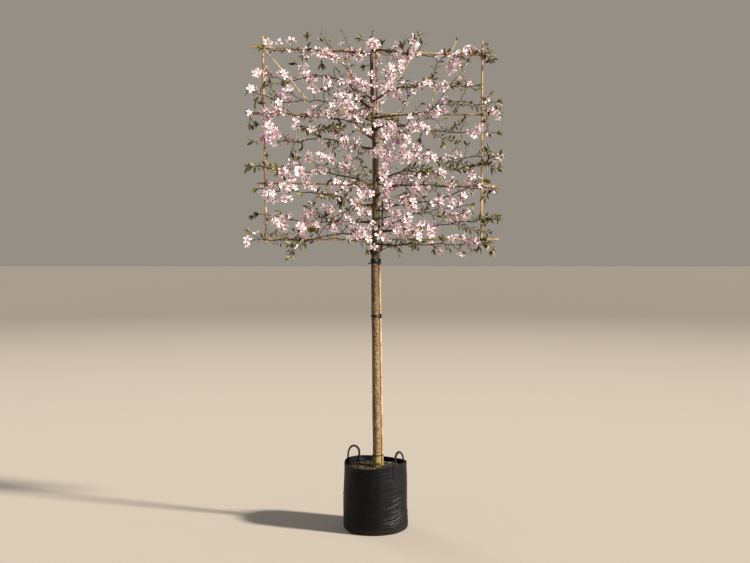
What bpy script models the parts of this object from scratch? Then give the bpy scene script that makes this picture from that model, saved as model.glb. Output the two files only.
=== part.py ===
"""Pleached almond tree in blossom, in a two-handled planting bag, tied to a bamboo frame.

Metres, +Z up. The origin is the centre of the bag's flat underside, +X runs along the
frame to the right and +Y runs away from the front. The trunk stands in the bag's compost
beside a centre cane. Boughs leave the trunk to both sides in tiers and are trained flat
along four level canes. Each bough ends where a mass of twigs, blossom and young leaves
takes over, and each mass keeps to the space that lies nearer to its own limb than to any
other limb.
"""

import math
import random

import bmesh
import bpy
import numpy as np
from mathutils import Vector

# Clearances between pieces that touch
SEAT = 0.0003
SOFT_SEAT = 0.0005

# Planting bag
BAG_FOOT_RADIUS = 0.1915
BAG_RIM_RADIUS = 0.184
BAG_HEIGHT = 0.400
BAG_WALL = 0.003
BAG_EDGE_RADIUS = 0.022
BAG_BULGE = 0.003
BAG_SIDES = 36
LIFT_START = 0.300
WALL_ROWS = (0.160, LIFT_START)
RIM_LIFT = 0.007
RIM_SAG = 0.010
SAG_ANGLE = math.radians(-105.0)
SAG_SPREAD = math.radians(35.0)

# Carrying straps, one behind on the left and one in front on the right
HANDLE_ANGLES = {"handle_left": math.radians(143.0), "handle_right": math.radians(-33.5)}
HANDLE_TOPS = {"handle_left": 0.479, "handle_right": 0.476}
HANDLE_LEANS = {"handle_left": 0.004, "handle_right": 0.014}
HANDLE_HALF_SPANS = {"handle_left": 0.055, "handle_right": 0.045}
HANDLE_FOOT = 0.373
HANDLE_SPRING = 0.425
HANDLE_STEPS = 14
STRAP_WIDTH = 0.012
STRAP_THICKNESS = 0.004

# Compost
SOIL_TOP = 0.370
SOIL_EDGE = 0.362
SOIL_BUMP = 0.003

# Trunk: height, sideways place and diameter
TRUNK_ROWS = (
    (0.3703, 0.0090, 0.0450),
    (0.436, 0.0102, 0.0436),
    (0.766, 0.0060, 0.0420),
    (1.066, 0.0000, 0.0408),
    (1.366, -0.0054, 0.0396),
    (1.576, -0.0078, 0.0388),
    (1.726, -0.0066, 0.0344),
    (2.026, -0.0030, 0.0276),
    (2.266, -0.0066, 0.0252),
    (2.345, -0.0078, 0.0246),
    (2.420, -0.0132, 0.0236),
    (2.506, -0.0180, 0.0230),
    (2.686, -0.0222, 0.0214),
    (2.944, -0.0252, 0.0180),
)
TRUNK_SIDES = 12
TRUNK_RING_STEP = 0.13
FLARE = 0.0030
FLARE_HEIGHT = 0.035

# Bamboo frame: ends as (sideways, height)
CANE_RADIUS = 0.0060
CENTRE_CANE_RADIUS = 0.0070
CANE_SIDES = 8
CANE_NODE_PITCH = 0.56
CANE_NODE_HALF = 0.006
CANE_NODE_RISE = 0.0006
CROSSING_CLEAR = 0.030
LEVEL_LANE = 0.0235
UPRIGHT_LANE = LEVEL_LANE - 2.0 * CANE_RADIUS - SEAT
CENTRE_LANE = LEVEL_LANE - CANE_RADIUS - CENTRE_CANE_RADIUS - SEAT
CANES = {
    "cane_centre": ((0.0410, SOIL_TOP + SEAT), (0.0030, 2.930)),
    "cane_left": ((-0.657, 1.702), (-0.679, 2.950)),
    "cane_right": ((0.636, 1.708), (0.642, 2.920)),
    "cane_level_1": ((-0.747, 2.887), (0.723, 2.836)),
    "cane_level_2": ((-0.765, 2.486), (0.717, 2.480)),
    "cane_level_3": ((-0.717, 2.068), (0.729, 2.050)),
    "cane_level_4": ((-0.681, 1.729), (0.741, 1.729)),
}

# Ties round the trunk and the centre cane: height of the middle, width, thickness
TIES = {
    "tie_foot": (0.436, 0.006, 0.0018),
    "tie_middle": (1.270, 0.014, 0.0024),
    "tie_upper": (1.600, 0.028, 0.0026),
    "tie_crown": (1.806, 0.012, 0.0022),
}
TIE_TRUNK_POINTS = 9
TIE_CANE_POINTS = 4

# Limbs, one row each: height on the trunk, knee and tip as (reach from the trunk's foot,
# height), how far in front (-) of the trunk the tip lies, and the share of the run that
# is bare bough. A share of zero is a mass that grows straight from the trunk.
LIMBS = {
    "left_01": (2.842, (-0.273, 2.860), (-0.668, 2.872), -0.020, 0.20),
    "left_02": (2.578, (-0.150, 2.722), (-0.309, 2.902), -0.066, 0.00),
    "left_03": (2.520, (-0.225, 2.692), (-0.695, 2.728), 0.042, 0.14),
    "left_04": (2.446, (-0.333, 2.566), (-0.750, 2.614), -0.030, 0.14),
    "left_05": (2.338, (-0.183, 2.440), (-0.745, 2.488), -0.018, 0.12),
    "left_06": (2.272, (-0.273, 2.332), (-0.740, 2.322), 0.040, 0.14),
    "left_07": (2.026, (-0.141, 2.096), (-0.755, 2.172), -0.016, 0.13),
    "left_08": (1.930, (-0.290, 1.996), (-0.700, 2.030), -0.050, 0.12),
    "left_09": (1.834, (-0.423, 1.846), (-0.705, 1.880), 0.042, 0.12),
    "left_10": (1.700, (-0.170, 1.768), (-0.762, 1.716), -0.024, 0.12),
    "right_01": (2.866, (0.339, 2.826), (0.672, 2.806), -0.022, 0.20),
    "right_02": (2.640, (0.110, 2.752), (0.249, 2.930), -0.062, 0.00),
    "right_03": (2.566, (0.150, 2.640), (0.610, 2.650), -0.016, 0.15),
    "right_04": (2.458, (0.237, 2.488), (0.725, 2.568), -0.030, 0.15),
    "right_05": (2.386, (0.105, 2.412), (0.725, 2.370), -0.018, 0.26),
    "right_07": (2.266, (0.267, 2.212), (0.755, 2.228), -0.030, 0.14),
    "right_08": (2.086, (0.207, 2.142), (0.655, 2.170), -0.050, 0.14),
    "right_09": (1.996, (0.159, 2.056), (0.705, 2.026), -0.014, 0.14),
    "right_10": (1.900, (0.190, 1.956), (0.640, 2.072), -0.070, 0.15),
    "right_11": (1.852, (0.210, 1.884), (0.560, 1.930), -0.020, 0.00),
    "right_12": (1.774, (0.330, 1.812), (0.715, 1.850), -0.034, 0.14),
    "right_13": (1.700, (0.170, 1.694), (0.655, 1.704), -0.018, 0.14),
}
# The fork: a second stem from the tip of one bough, rising in front of the tiers above
FORK_NAME = "right_06"
FORK_FROM = "right_05"
FORK_KNEE = (0.369, 2.542)
FORK_TIP = (0.573, 2.826)
FORK_LANE = -0.074
LEADER_NAME = "leader"
LEADER_RISE = 0.024
LEADER_SPREAD = 3.0
LEADER_LEAF = 0.040

BOUGH_SIDES = 6
BOUGH_RINGS = 3
BOUGH_ROOT_RADIUS = 0.0056
BOUGH_RADIUS_PER_RUN = 0.0030
BOUGH_TIP_SHARE = 0.78
COLLAR_SHARE = 1.30
COLLAR_LENGTH = 0.014
FRONT_TURN = math.radians(24.0)
RUN_STEPS = 24

# Growth rule of a mass
STEM_RINGS = 7
STEM_TIP_RADIUS = 0.0018
TWIG_PITCH = 0.112
TWIG_RADIUS = 0.0023
TWIG_TIP_RADIUS = 0.0014
TWIG_LONGEST = 0.150
TWIG_SHORTEST = 0.055
TWIG_SPREAD = math.radians(58.0)
TWIG_FLATNESS = 0.45
ROOT_CROWDING = 1.20
GOLDEN_TURN = math.radians(137.5)
BLOSSOM_RADIUS = 0.0235
BLOSSOM_RISE = 0.006
BLOSSOM_FRONT = 0.004
BLOSSOM_BACK = 0.0078
LEAF_LENGTH = 0.056
LEAF_WIDTH = 0.017
LEAF_THICKNESS = 0.0030
TUFT_LEAVES = 3
TUFT_SPREAD = 0.45
LIMB_CLEARANCE = 0.0016
SAMPLE_STEP = 0.010
CROWN_HALF_DEPTH = 0.190
CROWN_FLOOR = 1.620
CROWN_TOP = 2.990
CROWN_LEFT = -0.790
CROWN_RIGHT = 0.782


def clear_scene():
    """Remove what a new file holds."""
    for item in list(bpy.data.objects):
        bpy.data.objects.remove(item, do_unlink=True)


def linear(hex_colour):
    """Linear RGBA of an sRGB hex colour."""
    channels = [int(hex_colour[place:place + 2], 16) / 255.0 for place in (0, 2, 4)]
    curved = [c / 12.92 if c <= 0.04045 else ((c + 0.055) / 1.055) ** 2.4 for c in channels]
    return (*curved, 1.0)


def material(name, hex_colour, roughness, metallic=0.0):
    """A Principled material, made once for each name."""
    known = bpy.data.materials.get(name)
    if known:
        return known
    made = bpy.data.materials.new(name)
    made.use_nodes = True
    shader = made.node_tree.nodes["Principled BSDF"]
    shader.inputs["Base Color"].default_value = linear(hex_colour)
    shader.inputs["Roughness"].default_value = roughness
    shader.inputs["Metallic"].default_value = metallic
    return made


def bag_plastic():
    return material("black_woven_plastic", "1c1c1f", 0.45)


def strap_webbing():
    return material("black_webbing", "1d1a1a", 0.70)


def compost():
    return material("bark_compost", "3d2b20", 0.95)


def trunk_bark():
    return material("trunk_bark", "8a7450", 0.80)


def bough_bark():
    return material("bough_bark", "5a4534", 0.80)


def bamboo():
    return material("bamboo", "e0c88e", 0.50)


def tie_rubber():
    return material("tie_rubber", "1e1c1b", 0.65)


def blossom_and_leaf():
    return material("almond_blossom", "e3c3cb", 0.75)


def add_node(name, mesh, surface):
    """Link a mesh as one named object with its material."""
    mesh.name = name
    mesh.materials.clear()
    mesh.materials.append(surface)
    node = bpy.data.objects.new(name, mesh)
    bpy.context.scene.collection.objects.link(node)
    return node


def shade(mesh, degrees):
    """Shade round faces smooth and leave the sharper edges crisp."""
    mesh.shade_smooth()
    mesh.set_sharp_from_angle(angle=math.radians(degrees))


def mesh_of(build, name):
    """Finish a bmesh as a mesh with its faces pointing out."""
    bmesh.ops.recalc_face_normals(build, faces=build.faces[:])
    mesh = bpy.data.meshes.new(name)
    build.to_mesh(mesh)
    build.free()
    return mesh


def bridge(build, lower, upper):
    """Quads between two rings with the same number of vertices."""
    count = len(lower)
    for place in range(count):
        ahead = (place + 1) % count
        build.faces.new((lower[place], lower[ahead], upper[ahead], upper[place]))


def across(direction, hint):
    """Unit vector at right angles to a direction, nearest to the hint."""
    flat = hint - direction * hint.dot(direction)
    if flat.length < 1e-4:
        flat = direction.orthogonal()
    return flat.normalized()


def tube(name, centres, radii, sides, hint, first_normal=None, last_normal=None):
    """A closed tube with flat ends; each ring stands square to the run."""
    build = bmesh.new()
    rings = []
    last = len(centres) - 1
    for place, (centre, radius) in enumerate(zip(centres, radii)):
        run = (centres[min(place + 1, last)] - centres[max(place - 1, 0)]).normalized()
        if place == 0 and first_normal:
            run = first_normal
        if place == last and last_normal:
            run = last_normal
        hint = across(run, hint)
        side = run.cross(hint)
        ring = []
        for step in range(sides):
            turn = math.tau * step / sides
            offset = hint * math.cos(turn) + side * math.sin(turn)
            ring.append(build.verts.new(centre + offset * radius))
        rings.append(ring)
    for lower, upper in zip(rings, rings[1:]):
        bridge(build, lower, upper)
    build.faces.new(rings[0][::-1])
    build.faces.new(rings[-1])
    return mesh_of(build, name)


def smooth_run(points, first_heading, steps):
    """Catmull-Rom curve through a few points that leaves the first along a heading."""
    before = points[1] - first_heading * 2.0 * (points[1] - points[0]).length
    after = points[-1] + (points[-1] - points[-2]) * 0.5
    knots = [before, *points, after]
    run = [points[0].copy()]
    for place in range(len(points) - 1):
        a, b, c, d = knots[place:place + 4]
        for step in range(1, steps + 1):
            t = step / steps
            bend = a * (-t + 2 * t * t - t ** 3) + b * (2 - 5 * t * t + 3 * t ** 3)
            bend += c * (t + 4 * t * t - 3 * t ** 3) + d * (t ** 3 - t * t)
            run.append(bend * 0.5)
    return run


class Run:
    """A run of points measured by length, to be read at any share of it."""

    def __init__(self, points):
        self.points = points
        self.marks = [0.0]
        for a, b in zip(points, points[1:]):
            self.marks.append(self.marks[-1] + (b - a).length)
        self.length = self.marks[-1]

    def at(self, share):
        """Point and heading at a share of the length."""
        goal = min(max(share, 0.0), 1.0) * self.length
        place = 0
        while place < len(self.marks) - 2 and self.marks[place + 1] < goal:
            place += 1
        a, b = self.points[place], self.points[place + 1]
        part = (goal - self.marks[place]) / max(self.marks[place + 1] - self.marks[place], 1e-9)
        return a.lerp(b, part), (b - a).normalized()

    def piece(self, start, end, count):
        """Evenly spaced points between two shares."""
        shares = [start + (end - start) * step / (count - 1) for step in range(count)]
        return [self.at(share)[0] for share in shares]


# Planting bag, compost and straps


def wall_radius(height):
    """Outer radius of the filled bag's wall."""
    share = height / BAG_HEIGHT
    taper = BAG_FOOT_RADIUS + (BAG_RIM_RADIUS - BAG_FOOT_RADIUS) * share
    return taper + BAG_BULGE * math.sin(math.pi * share)


def rim_lift(angle, height):
    """How far the soft wall is pulled up at the straps, or sags at the front."""
    if height <= LIFT_START:
        return 0.0
    pull = RIM_LIFT * math.cos(2.0 * (angle - HANDLE_ANGLES["handle_left"]))
    off = math.remainder(angle - SAG_ANGLE, math.tau)
    sag = RIM_SAG * math.exp(-((off / SAG_SPREAD) ** 2))
    return (pull - sag) * (height - LIFT_START) / (BAG_HEIGHT - LIFT_START)


def turned(name, profile, lift):
    """A closed body turned round Z; the profile starts and ends on the axis."""
    build = bmesh.new()
    first = build.verts.new((0.0, 0.0, profile[0][1]))
    last = build.verts.new((0.0, 0.0, profile[-1][1]))
    rings = []
    for radius, height in profile[1:-1]:
        ring = []
        for step in range(BAG_SIDES):
            angle = math.tau * step / BAG_SIDES
            rise = height + lift(angle, radius, height)
            ring.append(build.verts.new((radius * math.cos(angle), radius * math.sin(angle), rise)))
        rings.append(ring)
    for lower, upper in zip(rings, rings[1:]):
        bridge(build, lower, upper)
    for step in range(BAG_SIDES):
        ahead = (step + 1) % BAG_SIDES
        build.faces.new((first, rings[0][ahead], rings[0][step]))
        build.faces.new((last, rings[-1][step], rings[-1][ahead]))
    return mesh_of(build, name)


def inner_profile(inset):
    """The bag's inner face from the floor to the start of the lift, moved in by an inset."""
    floor = BAG_WALL + inset
    corner = wall_radius(BAG_EDGE_RADIUS) - BAG_EDGE_RADIUS
    rows = [(corner - inset, floor)]
    for height in (BAG_EDGE_RADIUS, *WALL_ROWS):
        rows.append((wall_radius(height) - BAG_WALL - inset, height))
    return rows


def make_bag():
    """Thin-walled bag with a flat underside, a soft lower edge and an open, wavy rim."""
    corner = wall_radius(BAG_EDGE_RADIUS) - BAG_EDGE_RADIUS
    profile = [(0.0, 0.0)]
    for step in range(4):
        turn = math.radians(30.0 * step)
        radius = corner + BAG_EDGE_RADIUS * math.sin(turn)
        profile.append((radius, BAG_EDGE_RADIUS * (1.0 - math.cos(turn))))
    profile += [(wall_radius(height), height) for height in WALL_ROWS]
    rim_edge = BAG_HEIGHT - BAG_WALL / 2.0
    profile.append((wall_radius(rim_edge), rim_edge))
    profile.append((wall_radius(BAG_HEIGHT) - BAG_WALL / 2.0, BAG_HEIGHT))
    profile.append((wall_radius(rim_edge) - BAG_WALL, rim_edge))
    profile += inner_profile(0.0)[::-1]
    profile.append((0.0, BAG_WALL))
    mesh = turned("bag", profile, lambda angle, radius, height: rim_lift(angle, height))
    shade(mesh, 50.0)
    add_node("bag", mesh, bag_plastic())


def make_soil():
    """Compost that fills the bag, level round the trunk and uneven towards the wall."""
    rng = random.Random(11)
    bumps = [rng.uniform(-SOIL_BUMP, SOIL_BUMP) for _ in range(BAG_SIDES)]
    level_radius = 0.062
    edge_radius = wall_radius(SOIL_EDGE) - BAG_WALL - 2.5 * SEAT
    profile = [(0.0, BAG_WALL + SEAT), *inner_profile(SEAT), (edge_radius, SOIL_EDGE)]
    profile += [(0.150, 0.367), (0.100, 0.372)]
    profile += [(level_radius, SOIL_TOP), (0.0, SOIL_TOP)]

    def lift(angle, radius, height):
        place = round(angle / math.tau * BAG_SIDES)
        uneven = height > SOIL_EDGE and level_radius < radius < edge_radius
        return bumps[(place * 7 + round(radius * 1000)) % BAG_SIDES] if uneven else 0.0

    mesh = turned("compost", profile, lift)
    shade(mesh, 35.0)
    add_node("compost", mesh, compost())


def strap_point(name, along, height, depth):
    """A point of a strap: along the wall, up, and in from the wall's inner face."""
    wall = wall_radius(min(height, BAG_HEIGHT)) - BAG_WALL
    face = wall * math.cos(math.pi / BAG_SIDES) - SOFT_SEAT
    free = max(height - BAG_HEIGHT, 0.0) / (HANDLE_TOPS[name] - BAG_HEIGHT)
    radius = face - depth - HANDLE_LEANS[name] * free * free
    angle = HANDLE_ANGLES[name] + along / BAG_RIM_RADIUS
    return Vector((radius * math.cos(angle), radius * math.sin(angle), height))


def strap_path(name):
    """Middle line of a strap as (along the wall, height): a leg, an arch and a leg."""
    rise = HANDLE_TOPS[name] - STRAP_WIDTH / 2.0 - HANDLE_SPRING
    half = HANDLE_HALF_SPANS[name]
    path = [(half, HANDLE_FOOT), (half, BAG_HEIGHT)]
    for step in range(HANDLE_STEPS + 1):
        turn = math.pi * step / HANDLE_STEPS
        path.append((half * math.cos(turn), HANDLE_SPRING + rise * math.sin(turn)))
    path += [(-half, BAG_HEIGHT), (-half, HANDLE_FOOT)]
    return path


def make_handle(name):
    """A flat strap loop, its legs sewn flat to the wall's inner face."""
    path = strap_path(name)
    last = len(path) - 1
    build = bmesh.new()
    rings = []
    for place, (along, height) in enumerate(path):
        a = Vector(path[max(place - 1, 0)])
        b = Vector(path[min(place + 1, last)])
        run = (b - a).normalized()
        out = Vector((run.y, -run.x)) * STRAP_WIDTH / 2.0
        corners = ((1, 0.0), (-1, 0.0), (-1, STRAP_THICKNESS), (1, STRAP_THICKNESS))
        ring = []
        for sign, depth in corners:
            spot = strap_point(name, along + sign * out.x, height + sign * out.y, depth)
            ring.append(build.verts.new(spot))
        rings.append(ring)
    for lower, upper in zip(rings, rings[1:]):
        bridge(build, lower, upper)
    build.faces.new(rings[0][::-1])
    build.faces.new(rings[-1])
    mesh = mesh_of(build, name)
    shade(mesh, 40.0)
    add_node(name, mesh, strap_webbing())


# Trunk, canes and ties


def trunk_at(height):
    """Middle of the trunk and its radius at a height."""
    rows = TRUNK_ROWS
    place = 0
    while place < len(rows) - 2 and rows[place + 1][0] < height:
        place += 1
    low, high = rows[place], rows[place + 1]
    part = min(max((height - low[0]) / (high[0] - low[0]), 0.0), 1.0)
    ease = part * part * (3.0 - 2.0 * part)
    across_x = low[1] + (high[1] - low[1]) * ease
    radius = (low[2] + (high[2] - low[2]) * part) / 2.0
    radius += FLARE * math.exp(-(height - rows[0][0]) / FLARE_HEIGHT)
    return Vector((across_x, 0.0, height)), radius


def trunk_heading(height):
    """Which way the trunk leans at a height, over about a collar's length."""
    low = trunk_at(height - COLLAR_LENGTH)[0]
    high = trunk_at(height + COLLAR_LENGTH)[0]
    return (high - low).normalized()


def make_trunk():
    """One tapering stem from its flat cut on the compost to the pruned top."""
    heights = [row[0] for row in TRUNK_ROWS]
    heights += [TRUNK_ROWS[0][0] + FLARE_HEIGHT * share for share in (0.4, 1.0)]
    for low, high in zip(TRUNK_ROWS, TRUNK_ROWS[1:]):
        parts = round((high[0] - low[0]) / TRUNK_RING_STEP)
        heights += [low[0] + (high[0] - low[0]) * step / parts for step in range(1, parts)]
    heights.sort()
    rows = [trunk_at(height) for height in heights]
    build = bmesh.new()
    rings = []
    for centre, radius in rows:
        ring = []
        for step in range(TRUNK_SIDES):
            turn = math.tau * step / TRUNK_SIDES
            offset = Vector((math.cos(turn), math.sin(turn), 0.0)) * radius
            ring.append(build.verts.new(centre + offset))
        rings.append(ring)
    for lower, upper in zip(rings, rings[1:]):
        bridge(build, lower, upper)
    build.faces.new(rings[0][::-1])
    build.faces.new(rings[-1])
    mesh = mesh_of(build, "trunk")
    shade(mesh, 50.0)
    add_node("trunk", mesh, trunk_bark())


def cane_lane(name):
    """How far behind the trunk's plane a cane lies."""
    if name == "cane_centre":
        return CENTRE_LANE
    return LEVEL_LANE if name.startswith("cane_level") else UPRIGHT_LANE


def cane_radius(name):
    return CENTRE_CANE_RADIUS if name == "cane_centre" else CANE_RADIUS


def cane_ends(name):
    """Both ends of a cane in space."""
    lane = cane_lane(name)
    return [Vector((x, lane, z)) for x, z in CANES[name]]


def crossings(name):
    """Lengths along a cane at which another cane crosses it."""
    start, end = cane_ends(name)
    run = (end - start).normalized()
    level = name.startswith("cane_level")
    marks = []
    for other in CANES:
        if other.startswith("cane_level") == level:
            continue
        a, b = cane_ends(other)
        other_run = (b - a).normalized()
        normal = run.cross(other_run)
        marks.append((a - start).cross(other_run).dot(normal) / normal.length_squared)
    return marks


def make_cane(name, phase):
    """A straight cane with raised rings at its nodes, smooth where another cane crosses."""
    start, end = cane_ends(name)
    length = (end - start).length
    run = (end - start).normalized()
    radius = cane_radius(name)
    busy = crossings(name)
    marks = [(0.0, radius * 0.98)]
    mark = CANE_NODE_PITCH * phase
    while mark < length - 2.0 * CANE_NODE_HALF:
        if all(abs(mark - other) > CROSSING_CLEAR for other in busy):
            marks.append((mark - CANE_NODE_HALF, radius))
            marks.append((mark, radius + CANE_NODE_RISE))
            marks.append((mark + CANE_NODE_HALF, radius))
        mark += CANE_NODE_PITCH
    marks.append((length, radius))
    centres = [start + run * mark for mark, _ in marks]
    radii = [size for _, size in marks]
    mesh = tube(name, centres, radii, CANE_SIDES, Vector((0.0, 1.0, 0.0)))
    shade(mesh, 60.0)
    add_node(name, mesh, bamboo())


def loop_outline(centre, radius, other, other_radius):
    """Belt round two circles, as points of flat sides that clear both."""
    gap = (other - centre).length
    heading = math.atan2(other.y - centre.y, other.x - centre.x)
    touch = math.acos((radius - other_radius) / gap)
    outline = []
    arcs = (
        (centre, radius, heading + touch, math.tau - 2.0 * touch, TIE_TRUNK_POINTS),
        (other, other_radius, heading - touch, 2.0 * touch, TIE_CANE_POINTS),
    )
    for middle, size, start, sweep, count in arcs:
        step = sweep / (count - 1)
        reach = size / math.cos(step / 2.0)
        for place in range(count):
            turn = start + step * place
            outline.append(middle + Vector((math.cos(turn), math.sin(turn))) * reach)
    return outline


def make_tie(name):
    """A flat belt round the trunk and the centre cane."""
    height, width, thickness = TIES[name]
    low = height - width / 2.0
    high = height + width / 2.0
    trunk_middle, trunk_radius = trunk_at(height)
    trunk_radius = max(trunk_at(low)[1], trunk_at(high)[1])
    bottom, top = cane_ends("cane_centre")
    cane_middle = bottom.lerp(top, (height - bottom.z) / (top.z - bottom.z))
    build = bmesh.new()
    rings = []
    for out, level in ((0.0, low), (thickness, low), (thickness, high), (0.0, high)):
        outline = loop_outline(
            trunk_middle.xy, trunk_radius + SOFT_SEAT + out,
            cane_middle.xy, CENTRE_CANE_RADIUS + CANE_NODE_RISE + SEAT + out,
        )
        rings.append([build.verts.new((spot.x, spot.y, level)) for spot in outline])
    for lower, upper in zip(rings, rings[1:] + rings[:1]):
        bridge(build, lower, upper)
    mesh = mesh_of(build, name)
    shade(mesh, 40.0)
    add_node(name, mesh, tie_rubber())


# Limbs


def limb_run(name):
    """Middle line of a limb from the trunk's bark to its tip, and its heading at the root."""
    height, knee, tip, lane, _ = LIMBS[name]
    middle, radius = trunk_at(height)
    side = math.copysign(1.0, tip[0])
    turn = math.copysign(FRONT_TURN, lane)
    out = across(trunk_heading(height), Vector((side * math.cos(turn), math.sin(turn), 0.0)))
    root = middle + out * (radius + SOFT_SEAT)
    knee_share = abs(knee[0] / tip[0])
    start_lane = root.y + 0.25 * (lane - root.y)
    knee_point = Vector((knee[0], start_lane + (lane - start_lane) * knee_share, knee[1]))
    tip_point = Vector((tip[0], lane, tip[1]))
    heading = (out + (knee_point - root).normalized()).normalized()
    return Run(smooth_run([root, knee_point, tip_point], heading, RUN_STEPS)), out


def root_radius(run):
    return BOUGH_ROOT_RADIUS + BOUGH_RADIUS_PER_RUN * run.length


def make_bough(name, run, out):
    """One tapering limb with a collar at the trunk, cut square where its mass begins."""
    bare = LIMBS[name][4]
    root = root_radius(run)
    collar = COLLAR_LENGTH / run.length
    shares = [0.0, collar]
    shares += [collar + (bare - collar) * step / BOUGH_RINGS for step in range(1, BOUGH_RINGS + 1)]
    centres = [run.at(share)[0] for share in shares]
    radii = [root * (1.0 + (BOUGH_TIP_SHARE - 1.0) * share / bare) for share in shares]
    radii[0] *= COLLAR_SHARE
    up = Vector((0.0, 0.0, 1.0))
    mesh = tube(f"bough_{name}", centres, radii, BOUGH_SIDES, up, out, run.at(bare)[1])
    shade(mesh, 60.0)
    add_node(f"bough_{name}", mesh, bough_bark())
    return centres, radii


# Masses


class Space:
    """What every twig, blossom and leaf keeps clear of: limbs, canes and other masses."""

    def __init__(self):
        self.points = []
        self.radii = []
        self.lines = {}

    def add_solid(self, centres, radii):
        """A round limb, kept as closely set balls."""
        for a, b, size_a, size_b in zip(centres, centres[1:], radii, radii[1:]):
            count = max(2, math.ceil((b - a).length / (SAMPLE_STEP / 2.0)))
            for step in range(count + 1):
                self.points.append(a.lerp(b, step / count))
                self.radii.append(size_a + (size_b - size_a) * step / count)

    def add_line(self, owner, run):
        """The middle line that a mass's space lies round."""
        count = math.ceil(run.length / SAMPLE_STEP) + 1
        self.lines[owner] = run.piece(0.0, 1.0, count)

    def close(self):
        """Turn what was added into arrays."""
        self.points = np.array(self.points)
        self.radii = np.array(self.radii)
        self.lines = {owner: np.array(line) for owner, line in self.lines.items()}

    def free(self, owner, start, end, radius):
        """True where a round-ended bar lies in its own space and touches no limb."""
        length = (end - start).length
        count = math.ceil(length / SAMPLE_STEP) + 1
        gap = length / (count - 1) if count > 1 else 0.0
        for step in range(count):
            spot = np.array(start.lerp(end, step / max(count - 1, 1)))
            if not self.in_crown(spot, radius):
                return False
            reach = np.linalg.norm(self.points - spot, axis=1) - self.radii
            if reach.min() < radius + gap / 2.0 + LIMB_CLEARANCE:
                return False
            own = np.linalg.norm(self.lines[owner] - spot, axis=1).min()
            for other, line in self.lines.items():
                if other == owner:
                    continue
                away = np.linalg.norm(line - spot, axis=1).min()
                if away - own < 2.0 * radius + gap + LIMB_CLEARANCE:
                    return False
        return True

    @staticmethod
    def in_crown(spot, radius):
        """True inside the box that the trained crown fills."""
        wide = CROWN_LEFT + radius < spot[0] < CROWN_RIGHT - radius
        deep = abs(spot[1]) < CROWN_HALF_DEPTH - radius
        tall = CROWN_FLOOR + radius < spot[2] < CROWN_TOP - radius
        return wide and deep and tall


def leaf_body(base, heading, face, length):
    """A narrow leaf of eight faces, ridged along its middle."""
    heading = heading.normalized()
    face = across(heading, face)
    side = heading.cross(face)
    middle = base + heading * length * 0.45
    width = LEAF_WIDTH * length / LEAF_LENGTH
    tip = base + heading * length
    rim = (base, middle + side * width / 2.0, tip, middle - side * width / 2.0)
    build = bmesh.new()
    outline = [build.verts.new(spot) for spot in rim]
    for sign in (1.0, -1.0):
        ridge = build.verts.new(middle + face * sign * LEAF_THICKNESS / 2.0)
        for a, b in zip(outline, outline[1:] + outline[:1]):
            build.faces.new((a, b, ridge))
    return mesh_of(build, "leaf")


def blossom_body(spot, facing, turn):
    """An open five-petalled flower as a shallow five-sided cone on its calyx."""
    facing = facing.normalized()
    side = facing.orthogonal().normalized()
    up = facing.cross(side)
    centre = spot + facing * BLOSSOM_RISE
    build = bmesh.new()
    rim = []
    for petal in range(5):
        angle = turn + math.tau * petal / 5
        offset = side * math.cos(angle) + up * math.sin(angle)
        rim.append(build.verts.new(centre + offset * BLOSSOM_RADIUS))
    for depth in (BLOSSOM_FRONT, -BLOSSOM_BACK):
        apex = build.verts.new(centre + facing * depth)
        for a, b in zip(rim, rim[1:] + rim[:1]):
            build.faces.new((a, b, apex))
    return mesh_of(build, "blossom")


def twig_body(start, end, root, tip):
    """A three-sided twig with its root in the middle of what carries it."""
    return tube("twig", [start, end], [root, tip], 3, Vector((0.0, 0.0, 1.0)))


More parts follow.
